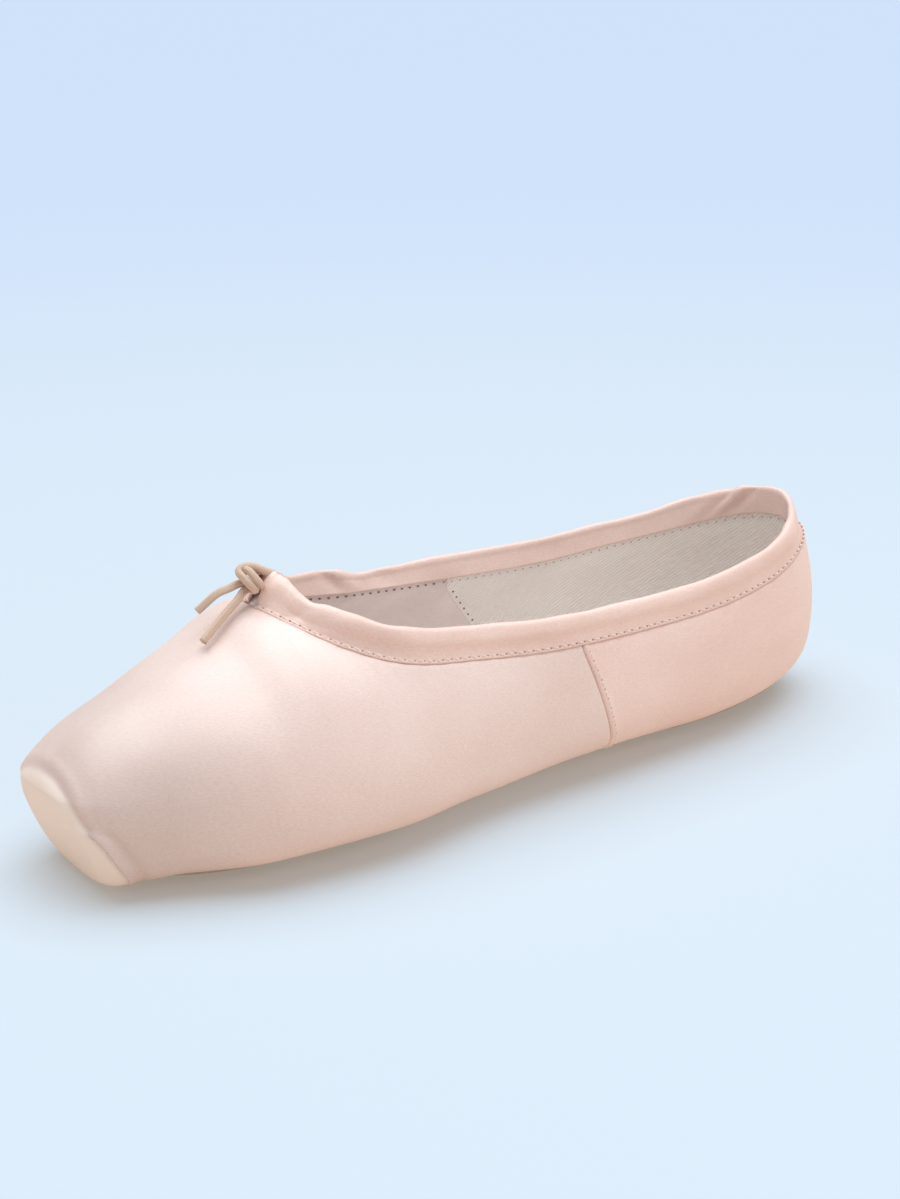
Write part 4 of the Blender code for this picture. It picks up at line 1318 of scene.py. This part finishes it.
def casing_piece(settings, finish):
    """Satin band folded over the collar and drawn in by the cord."""
    rim, place_share, side, travel = full_collar(CASING_COLUMNS)
    path = casing_path(rim, place_share)
    rows = path.shape[1]
    rise = rise_up(path)
    across = rise / rise[:, -1:]
    arch = np.sin(pi * across)
    normals = unit(np.cross(np.gradient(path, axis=0), np.gradient(path, axis=1)))
    height = casing_relief(place_share, side, across) * settings.pucker
    gathered = bell(place_share, FRONT_GATHER_REACH)[:, None]
    height += FRONT_GATHER.height * gathers(FRONT_GATHER, travel[:, None]) * gathered * arch
    uneven = gathers(UNEVEN_GATHER, travel) * np.sin(travel / UNEVEN_BEAT)
    height += UNEVEN_GATHER.height * uneven[:, None] * arch
    height += ridges_over(across, CASING_CHANNEL)
    stitch_gap = rise - np.linalg.norm(path[:, 2] - path[:, 0], axis=1)[:, None]
    height += ridges_over(stitch_gap, [CASING_STITCH_DIP])
    lean = waves_along(LEANS, place_share, side)[:, None] * arch
    path = path + normals * height[..., None] + rim.inward[:, None] * lean[..., None]
    path[..., 2] += waves_along(WAVES, place_share, side)[:, None] * arch * settings.wave
    weave = np.stack([np.repeat(travel[:, None], rows, 1), rise, np.full_like(rise, 0.5)], axis=-1)
    path, weave = path[:-FAR_END_CUT], weave[:-FAR_END_CUT]
    faces = grid_faces(len(path), rows)
    made = new_mesh_object("casing_band", path.reshape(-1, 3), faces, weave.reshape(-1, 3))
    thicken(made, CASING_WALL * 0.8, 0)
    dress(made, finish, "casing_satin", "drawstring_casing")


def stitch_row(name, row, diameter, arch, finish, slot):
    """A row of stitches, each a short thread that dips into the cloth at both ends."""
    sides, rings = 6, 6
    points, faces = [], []
    for start, end, out in zip(*row):
        cross = np.cross(unit(end - start), out)
        faces += tube_faces(rings, sides, len(points))
        for k in range(rings):
            swell = sin(pi * k / (rings - 1))
            centre = start + (end - start) * k / (rings - 1)
            centre = centre + out * (arch * swell - diameter * 0.35)
            radius = diameter / 2 * (0.55 + 0.45 * swell)
            for s in range(sides):
                turn = 2 * pi * s / sides
                points.append(centre + (out * cos(turn) + cross * sin(turn)) * radius)
    dress(new_mesh_object(name, points, faces), finish, slot)


def stitches_on_line(line, outs, pitch, length, slant=0.0, shift=0.0):
    """Starts, ends and outward ways of stitches along a line; length and slant are shares of
    the pitch."""
    travel = travel_along(line)
    count = int(travel[-1] / pitch)
    begins = (np.arange(count) + 0.5 + shift) * travel[-1] / count - pitch * length / 2
    starts = points_at(begins, travel, line)
    ends = points_at(begins + pitch * length, travel, line)
    ways = unit(points_at(begins + pitch * length / 2, travel, outs))
    lean = np.cross(unit(ends - starts), ways) * pitch * slant
    return starts - lean, ends + lean, ways


def stitching(settings):
    """Casing stitches outside and inside, and those of the side seams."""
    pink = thread_material("pink_thread", settings.thread_colour)
    stitch_shade = thread_material("stitch_shade_finish", settings.stitch_shade_colour)
    grey = thread_material("lining_thread", settings.inner_thread_colour)
    beige = thread_material("quarter_lining_thread", settings.quarter_thread_colour)
    pitch, thread = settings.pitch, settings.thread

    rim, place_share, _, _ = full_collar(CASING_COLUMNS)
    outward = crease_outward(rim)
    outer = rim.stitch + outward * CASING_PROUD - rim.normal * 0.00010 + rim.down * 0.0002
    row = stitches_on_line(outer, unit(outward), pitch, 0.62, 0.07)
    stitch_row("casing_stitches_outer", row, thread, 0.00024, pink, "casing_satin")
    # Dark dots between the outer stitches: painted shade of the needle holes.
    row = stitches_on_line(outer, unit(outward), pitch, 0.24, 0.0, 0.5)
    stitch_row("casing_stitch_shade_outer", row, thread * 0.8, 0.00005, stitch_shade, "casing_satin")

    edge = rim.stitch + rim.inward * (STEP_DEPTH + QUARTER_WALL)
    edge = edge + rim.band * inner_rise(place_share)
    below = rim.stitch + rim.down * STEP_START - rim.normal * QUARTER_WALL
    level = edge + unit(below - edge) * INNER_STITCH_DROP - rim.normal * 0.0001
    turned = int(np.argmin(place_share < INNER_THREAD_CHANGE))
    back = len(place_share) - turned
    for label, part, tone, size in (("near_front", slice(0, turned), grey, 0.9),
                                    ("back", slice(turned, back), beige, 0.75),
                                    ("far_front", slice(back, None), grey, 0.9)):
        row = stitches_on_line(level[part], -rim.normal[part], pitch, 0.30)
        stitch_row(f"casing_stitches_inner_{label}", row, thread * size, 0.0002, tone,
                   "lining_cloth")

    grid = UpperGrid(*SEAM_GRID)
    lining = UpperGrid(*SEAM_GRID, inner=True)
    seam = slice(4, None)
    here, after = grid.points[grid.seam, seam], grid.points[grid.seam + 1, seam]
    behind = here + unit(after - here) * 0.0013 + grid.normals[grid.seam, seam] * 0.0002
    lining_out = lining.normals[lining.seam, seam]
    inside = lining.points[lining.seam + 1, seam] + np.array([0, 0.0012, 0])
    inside = inside - lining_out * (QUARTER_WALL + 0.00025)
    for side, label in ((1, "near"), (-1, "far")):
        flip = np.array([side, 1, 1])
        out = grid.normals[grid.seam, seam] * flip
        row = stitches_on_line(behind * flip, out, pitch, 0.60, 0.10 * side)
        stitch_row(f"seam_stitches_{label}", row, thread * 0.9, 0.0002, pink, "pink_satin")
        # Dark dots between the seam stitches: painted shade of the needle holes.
        row = stitches_on_line(behind * flip, out, pitch, 0.22, 0.0, 0.5)
        stitch_row(f"seam_stitch_shade_{label}", row, thread * 0.75, 0.00005, stitch_shade, "pink_satin")
        row = stitches_on_line(inside * flip, -lining_out * flip, pitch, 0.3)
        stitch_row(f"seam_stitches_inner_{label}", row, thread, 0.0002, grey, "lining_cloth")


def tread_stations(front, front_round):
    """Stations and fan angles of a sole piece's columns, close together at its round front."""
    stops = front + front_round * (1 - np.cos(np.linspace(0, HALF_PI, 14)))
    stops = np.concatenate([stops, np.linspace(stops[-1], HEEL_START, TREAD_COLUMNS)[1:]])
    fan = np.linspace(HALF_PI, 0, 30)[1:]
    along = np.concatenate([stops, np.full(len(fan), HEEL_START)])
    return along, np.concatenate([np.full(len(stops), HALF_PI), fan])


def outsole_piece(settings):
    """Thin leather sole, flat below and skived at its edge."""
    along, turn = tread_stations(SOLE_FRONT, SOLE_FRONT_ROUND)
    shares = 1 - (1 - np.linspace(0, 1, 22)) ** 1.4
    half = tread_half(along, turn, TREAD.outsole, SOLE_FRONT, SOLE_FRONT_ROUND, 0.5)
    across = half[:, None] * shares
    angle = under_angle(along[:, None], turn[:, None], across)
    top = surface(along[:, None], turn[:, None], angle)
    top = top + surface_normal(along[:, None], turn[:, None], angle) * CLEARANCE * 0.6
    floor = np.maximum(bottom_height(reach_of(along, turn)) - SOLE_HEIGHT, 0)[:, None]
    ramp = round_front(along - SOLE_FRONT, SOLE_SKIVE)[:, None]
    skive = np.maximum(0, (shares - 0.5) / 0.5) ** 2
    edge = np.sqrt(np.clip((1 - shares) / 0.03, 0, 1))
    body = (SOLE_EDGE + (SOLE_WALL - SOLE_EDGE) * ramp * (1 - skive)) * (0.55 + 0.45 * edge)
    under = top.copy()
    under[..., 2] = np.maximum(top[..., 2] - body, floor)
    flat = (shares <= 0.5) & (ramp >= 1)
    under[..., 2] = np.where(flat, floor, under[..., 2])
    columns, rows = top.shape[:2]
    size = columns * rows
    points, faces = [], []
    for side in (1, -1):
        flip = np.array([side, 1, 1])
        start = len(points) * size
        points += [(top * flip).reshape(-1, 3), (under * flip).reshape(-1, 3)]
        faces += grid_faces(columns, rows, start, side > 0)
        faces += grid_faces(columns, rows, start + size, side < 0)
        numbers = (np.arange(size).reshape(columns, rows) + start + size).tolist()
        for line in ([column[-1] for column in numbers], numbers[0]):
            for here, after in zip(line, line[1:]):
                quad = [here - size, here, after, after - size]
                faces.append(quad if side > 0 else quad[::-1])
    points = np.concatenate(points)
    snap_to_middle(points)
    made = new_mesh_object("sole_leather_piece", points, faces)
    weld(made)
    dress(made, leather_material(settings), "sole_leather", "outsole")


def insole_piece(settings):
    """Cloth-covered insole that follows the inside of the bottom."""
    along, turn = tread_stations(INSOLE_FRONT, INSOLE_FRONT_ROUND)
    shares = 1 - (1 - np.linspace(0, 1, 20)) ** 1.2
    half = tread_half(along, turn, TREAD.insole, INSOLE_FRONT, INSOLE_FRONT_ROUND, 0.5)
    angle = under_angle(along[:, None], turn[:, None], half[:, None] * shares)
    lift = (wall_at(along) + CLEARANCE)[:, None, None]
    sheet = surface(along[:, None], turn[:, None], angle)
    sheet = sheet - surface_normal(along[:, None], turn[:, None], angle) * lift
    columns, rows = sheet.shape[:2]
    points, weaves, faces = [], [], []
    for side in (1, -1):
        flip = np.array([side, 1, 1])
        faces += grid_faces(columns, rows, len(points) * columns * rows, side < 0)
        points.append((sheet * flip).reshape(-1, 3))
        weaves.append((sheet * flip)[..., [1, 0, 2]].reshape(-1, 3))
    points = np.concatenate(points)
    snap_to_middle(points)
    made = new_mesh_object("insole_sock", points, faces, np.concatenate(weaves))
    weld(made)
    thicken(made, INSOLE_WALL, -1)
    finish = cloth_material("insole_finish", settings.insole_low, settings.insole_high,
                            INSOLE_CLOTH)[0]
    dress(made, finish, "lining_cloth", "insole")


def knot_middle():
    fold = collar_frame(np.array([0.0])).fold[0]
    return np.array([0, fold[1] - KNOT_AHEAD, fold[2] + KNOT_RISE])


def smooth_route(points):
    """Evenly spaced points of a smooth curve through a route's own points."""
    points = np.array(points)
    before = np.vstack([2 * points[0] - points[1], points, 2 * points[-1] - points[-2]])
    fine = []
    for i in range(1, len(before) - 2):
        p0, p1, p2, p3 = before[i - 1:i + 3]
        for t in np.linspace(0, 1, 16, endpoint=False):
            bend = (2 * p0 - 5 * p1 + 4 * p2 - p3) * t * t + (3 * p1 - p0 - 3 * p2 + p3) * t ** 3
            fine.append((2 * p1 + (p2 - p0) * t + bend) / 2)
    fine.append(points[-1])
    fine = np.array(fine)
    travel = travel_along(fine)
    wanted = np.linspace(0, travel[-1], int(round(travel[-1] / CORD_SPACING)) + 1)
    return points_at(wanted, travel, fine)


def cord_piece(name, route, finish, nodes):
    """Round cord from the casing through the knot to its square-cut end."""
    stops = [knot_middle() + np.array(stop) / 1000 for stop in route]
    path = smooth_route(stops)
    travel = travel_along(path)
    ways = unit(np.gradient(path, axis=0))
    side = unit(np.cross(ways[0], np.array([0, 0, 1.0])))
    points, weaves = [], []
    for centre, way, run in zip(path, ways, travel):
        side = unit(side - way * (side @ way))
        up = np.cross(side, way)
        for k in range(CORD_SIDES):
            turn = 2 * pi * k / CORD_SIDES
            radius = CORD_DIAMETER / 2 * (1 - 0.16 * np.exp(-(cos(turn) / 0.26) ** 2))
            points.append(centre + (side * cos(turn) + up * sin(turn)) * radius)
            weaves.append((run, CORD_DIAMETER / 2 * turn, 0))
    faces = tube_faces(len(path), CORD_SIDES)
    made = new_mesh_object(name, points, faces, weaves)
    edges = bmesh.new()
    edges.from_mesh(made.data)
    bmesh.ops.recalc_face_normals(edges, faces=edges.faces)
    edges.to_mesh(made.data)
    edges.free()
    dress(made, finish, "braided_cord", *nodes)


# Stage


CAMERA_AZIMUTH = radians(53.789)
CAMERA_ELEVATION = radians(19.206)
CAMERA_DISTANCE = 0.53232
CAMERA_OFFSET = (0.00305, -0.04246)
CAMERA_LENS = 62.06


def view_axes():
    right = Vector((cos(CAMERA_AZIMUTH), sin(CAMERA_AZIMUTH), 0))
    level = cos(CAMERA_ELEVATION)
    back = Vector((sin(CAMERA_AZIMUTH) * level, -cos(CAMERA_AZIMUTH) * level,
                   sin(CAMERA_ELEVATION)))
    return right, back.cross(right), back


def place_camera():
    right, up, back = view_axes()
    lens = bpy.data.cameras.new("photo_camera")
    lens.sensor_fit = "VERTICAL"
    lens.sensor_height = 36
    lens.lens = CAMERA_LENS
    made = bpy.data.objects.new("photo_camera", lens)
    made.location = back * CAMERA_DISTANCE - right * CAMERA_OFFSET[0] - up * CAMERA_OFFSET[1]
    made.rotation_euler = back.to_track_quat("Z", "Y").to_euler()
    bpy.context.scene.collection.objects.link(made)
    bpy.context.scene.camera = made


def soft_light(name, towards, distance, size, energy, colour):
    lamp = bpy.data.lights.new(name, "AREA")
    lamp.shape = "RECTANGLE"
    lamp.size, lamp.size_y = size
    lamp.energy = energy
    lamp.color = colour
    made = bpy.data.objects.new(name, lamp)
    way = Vector(towards).normalized()
    made.location = Vector((0, 0, 0.03)) + way * distance
    made.rotation_euler = way.to_track_quat("Z", "Y").to_euler()
    bpy.context.scene.collection.objects.link(made)


def soft_sun(name, towards, strength, colour):
    lamp = bpy.data.lights.new(name, "SUN")
    lamp.angle = radians(70)
    lamp.energy = strength
    lamp.color = colour
    made = bpy.data.objects.new(name, lamp)
    made.rotation_euler = Vector(towards).to_track_quat("Z", "Y").to_euler()
    bpy.context.scene.collection.objects.link(made)


def make_floor(colour, far_colour, glow, bounce):
    """Pale floor with a faint glow, like a lit studio table, that throws warm light on the shoe."""
    corners = [(-6, -6, 0), (6, -6, 0), (6, 6, 0), (-6, 6, 0)]
    floor = new_mesh_object("studio_floor", corners, [(0, 1, 2, 3)])
    made, tree, shader = start_material("floor_finish", 0.9, 0.0)
    place_node = add(tree, "ShaderNodeTexCoord")
    noise = add(tree, "ShaderNodeTexNoise", in_Scale=1.5, in_Detail=2.0)
    tree.links.new(place_node.outputs["Object"], noise.inputs["Vector"])
    # The floor is painted paler near the shoe and darker, bluer far off: a painted pool of light.
    distance = add(tree, "ShaderNodeVectorMath", operation="LENGTH")
    tree.links.new(place_node.outputs["Object"], distance.inputs[0])
    fade = add(tree, "ShaderNodeMapRange", interpolation_type="SMOOTHSTEP", in_From_Min=0.05,
               in_From_Max=1.1)
    tree.links.new(distance.outputs["Value"], fade.inputs["Value"])
    seen = add(tree, "ShaderNodeLightPath")
    shown = tone_between(tree, fade.outputs["Result"], colour, far_colour, 0.0, 1.0)
    mixed = mixed_colour(tree, seen.outputs["Is Camera Ray"], bounce, shown)
    tree.links.new(mixed, shader.inputs["Base Color"])
    bump(tree, shader, noise.outputs["Fac"], 0.0005)
    shader.inputs["Specular IOR Level"].default_value = 0.1
    shader.inputs["Emission Color"].default_value = (*glow, 1)
    shader.inputs["Emission Strength"].default_value = 1.0
    floor.data.materials.append(made)


def make_world(colour, strength):
    world = bpy.data.worlds.new("studio_air")
    world.use_nodes = True
    sky = world.node_tree.nodes["Background"]
    sky.inputs["Color"].default_value = (*colour, 1)
    sky.inputs["Strength"].default_value = strength
    bpy.context.scene.world = world


# Settings


def colour_setting(name, description, default):
    return FloatVectorProperty(name=name, description=description, default=default, size=3,
                               subtype="COLOR", min=0, max=1)


def size_setting(name, description, default):
    return FloatProperty(name=name, description=description, default=default, unit="LENGTH",
                         precision=5)


def number_setting(name, description, default):
    return FloatProperty(name=name, description=description, default=default)


class PointeStageSettings(bpy.types.PropertyGroup):
    # Painted light: the floor's colour near the shoe, painted paler than far off.
    lit_near_floor_colour: colour_setting("Floor", "Colour of the studio floor", (0.385, 0.52, 0.637))
    far_floor_colour: colour_setting("Far floor", "Colour of the floor far from the shoe",
                                     (0.31, 0.466, 0.657))
    floor_glow: colour_setting("Floor glow", "Light from the table itself", (0.24, 0.19, 0.15))
    floor_bounce: colour_setting("Floor bounce", "Colour that the floor throws back on the shoe",
                                 (0.50, 0.44, 0.40))
    air_colour: colour_setting("Air", "Colour of the light from all round", (1.0, 0.98, 0.97))
    air_strength: number_setting("Air strength", "Light from all round", 0.37)
    sun_strength: number_setting("Sky light", "Strength of the soft light from above", 2.8)
    side_power: number_setting("Side light", "Watts of the light at the heel side", 1.15)
    fill_power: number_setting("Toe fill", "Watts of the light in front of the toe", 0.35)


class PointeSatinSettings(bpy.types.PropertyGroup):
    vamp_low: colour_setting("Vamp shade", "Darker tone of the vamp's satin", (0.83, 0.665, 0.615))
    vamp_high: colour_setting("Vamp tone", "Lighter tone of the vamp's satin", (0.90, 0.75, 0.705))
    # Painted light: paler cream tone painted over the platform's face.
    platform_lit_tone: colour_setting("Platform", "Cream tone of the stretched platform",
                                   (0.93, 0.83, 0.76))
    quarter_low: colour_setting("Quarter shade", "Darker tone of the quarters", (0.87, 0.65, 0.59))
    quarter_high: colour_setting("Quarter tone", "Lighter tone of the quarters",
                                 (0.96, 0.77, 0.715))
    casing_low: colour_setting("Casing shade", "Darker tone of the casing", (0.84, 0.615, 0.55))
    casing_high: colour_setting("Casing tone", "Lighter tone of the casing", (0.95, 0.74, 0.675))
    roughness: number_setting("Roughness", "Roughness of the satin", 0.46)
    sheen: number_setting("Sheen", "Weight of the satin's sheen", 0.12)
    grain: number_setting("Grain", "Contrast of the threads", 0.07)
    thread_pitch: size_setting("Thread pitch", "Distance between threads", 0.00028)
    thread_depth: size_setting("Thread depth", "Height of the threads", 0.00003)
    # Painted shade: how much darker the satin is painted over the box.
    box_shade_depth: number_setting("Box depth", "Deeper tone over the stiff box", 0.18)
    pucker: number_setting("Pucker", "Height of the casing's puckers", 1.0)
    wave: number_setting("Wave", "Height of the waves in the folded edge", 1.0)


class PointeLiningSettings(bpy.types.PropertyGroup):
    vamp_lining_low: colour_setting("Vamp lining shade", "Darker tone", (0.80, 0.71, 0.70))
    vamp_lining_high: colour_setting("Vamp lining tone", "Lighter tone", (0.90, 0.82, 0.81))
    twill_low: colour_setting("Twill shade", "Darker tone of the twill", (0.94, 0.90, 0.87))
    twill_high: colour_setting("Twill tone", "Lighter tone of the twill", (0.99, 0.97, 0.94))
    rib_pitch: size_setting("Rib pitch", "Distance between the twill's ribs", 0.0009)
    rib_angle: FloatProperty(name="Rib angle", description="Slant of the ribs", default=radians(50),
                             subtype="ANGLE")
    insole_low: colour_setting("Insole shade", "Darker tone of the insole", (0.78, 0.70, 0.63))
    insole_high: colour_setting("Insole tone", "Lighter tone of the insole", (0.86, 0.79, 0.72))
    leather_low: colour_setting("Leather shade", "Darker tone of the sole", (0.44, 0.37, 0.31))
    leather_high: colour_setting("Leather tone", "Lighter tone of the sole", (0.56, 0.48, 0.41))


class PointeThreadSettings(bpy.types.PropertyGroup):
    pitch: size_setting("Stitch pitch", "Distance from stitch to stitch", 0.0026)
    thread: size_setting("Thread", "Diameter of the sewing thread", 0.00058)
    thread_colour: colour_setting("Thread", "Colour of the outer thread", (1.0, 0.84, 0.76))
    # Painted shade: colour of the dark dots between the stitches, for the shade in the needle holes.
    stitch_shade_colour: colour_setting("Needle holes", "Colour between the stitches", (0.52, 0.27, 0.22))
    inner_thread_colour: colour_setting("Inner thread", "Colour of the inner thread",
                                        (0.34, 0.25, 0.20))
    quarter_thread_colour: colour_setting("Quarter thread", "Inner thread of the quarters",
                                          (0.62, 0.46, 0.36))
    cord_low: colour_setting("Cord shade", "Darker tone of the drawstring", (0.66, 0.49, 0.39))
    cord_high: colour_setting("Cord tone", "Lighter tone of the drawstring", (0.82, 0.65, 0.54))
    strand_pitch: size_setting("Strand pitch", "Distance between the braid's strands", 0.00045)


# Operators


class PointeStage(bpy.types.Operator):
    """Places the camera, the floor and the lights"""

    bl_idname = "pointe.stage"
    bl_label = "Studio"

    def execute(self, context):
        stage = context.scene.pointe_stage
        place_camera()
        make_floor(stage.lit_near_floor_colour, stage.far_floor_colour, stage.floor_glow,
                   stage.floor_bounce)
        make_world(stage.air_colour, stage.air_strength)
        context.scene.view_settings.view_transform = "Standard"
        soft_sun("sky_light", (-0.10, 0.12, 1.0), stage.sun_strength, (0.98, 0.985, 1.0))
        soft_light("heel_softbox", towards=(0.88, 0.42, 0.30), distance=0.9, size=(0.45, 0.6),
                   energy=stage.side_power, colour=(1.0, 0.92, 0.87))
        soft_light("toe_fill", towards=(-0.15, -1.00, 0.05), distance=0.7, size=(0.4, 0.3),
                   energy=stage.fill_power, colour=(1.0, 0.90, 0.80))
        return {"FINISHED"}


class PointeDrawstring(bpy.types.Operator):
    """Ties the two cords in front of the casing"""

    bl_idname = "pointe.drawstring"
    bl_label = "Drawstring"

    def execute(self, context):
        finish = cord_material(context.scene.pointe_thread)
        cord_piece("drawstring_cord_near", NEAR_CORD, finish,
                   ("drawstring_knot", "drawstring_end_left"))
        cord_piece("drawstring_cord_far", FAR_CORD, finish,
                   ("drawstring_knot", "drawstring_end_right"))
        return {"FINISHED"}


class PointeSatin(bpy.types.Operator):
    """Makes the vamp and the two quarters"""

    bl_idname = "pointe.satin"
    bl_label = "Satin panels"

    def execute(self, context):
        satin_panels(context.scene.pointe_satin)
        return {"FINISHED"}


class PointeLining(bpy.types.Operator):
    """Lines the vamp and the quarters"""

    bl_idname = "pointe.lining"
    bl_label = "Lining"

    def execute(self, context):
        lining_panels(context.scene.pointe_lining)
        return {"FINISHED"}


class PointeCasing(bpy.types.Operator):
    """Folds the casing over the collar"""

    bl_idname = "pointe.casing"
    bl_label = "Casing"

    def execute(self, context):
        satin = context.scene.pointe_satin
        finish = satin_material("casing_satin_finish", satin.casing_low, satin.casing_high, satin)
        casing_piece(satin, finish)
        return {"FINISHED"}


class PointeStitching(bpy.types.Operator):
    """Sews the casing and the side seams"""

    bl_idname = "pointe.stitching"
    bl_label = "Stitching"

    def execute(self, context):
        stitching(context.scene.pointe_thread)
        return {"FINISHED"}


class PointeSoles(bpy.types.Operator):
    """Makes the outsole and the insole"""

    bl_idname = "pointe.soles"
    bl_label = "Soles"

    def execute(self, context):
        outsole_piece(context.scene.pointe_lining)
        insole_piece(context.scene.pointe_lining)
        return {"FINISHED"}


class PointePanel(bpy.types.Panel):
    bl_label = "Pointe Shoe"
    bl_idname = "VIEW3D_PT_pointe_shoe"
    bl_space_type = "VIEW_3D"
    bl_region_type = "UI"
    bl_category = "Pointe Shoe"

    def draw(self, context):
        for made in OPERATORS:
            self.layout.operator(made.bl_idname)
        for name in SETTINGS:
            box = self.layout.box()
            group = getattr(context.scene, name)
            for key in group.bl_rna.properties.keys():
                if key not in ("rna_type", "name"):
                    box.prop(group, key)


OPERATORS = (PointeStage, PointeDrawstring, PointeSatin, PointeLining, PointeCasing,
             PointeStitching, PointeSoles)
SETTINGS = {
    "pointe_stage": PointeStageSettings,
    "pointe_satin": PointeSatinSettings,
    "pointe_lining": PointeLiningSettings,
    "pointe_thread": PointeThreadSettings,
}


def register():
    for made in (*SETTINGS.values(), *OPERATORS, PointePanel):
        bpy.utils.register_class(made)
    for name, group in SETTINGS.items():
        setattr(bpy.types.Scene, name, PointerProperty(type=group))


def unregister():
    for name in SETTINGS:
        delattr(bpy.types.Scene, name)
    for made in (PointePanel, *reversed(OPERATORS), *SETTINGS.values()):
        bpy.utils.unregister_class(made)


def main():
    register()
    bpy.ops.pointe.stage()
    bpy.ops.pointe.drawstring()
    bpy.ops.pointe.satin()
    bpy.ops.pointe.lining()
    bpy.ops.pointe.casing()
    bpy.ops.pointe.stitching()
    bpy.ops.pointe.soles()
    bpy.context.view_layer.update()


if __name__ == "__main__":
    main()
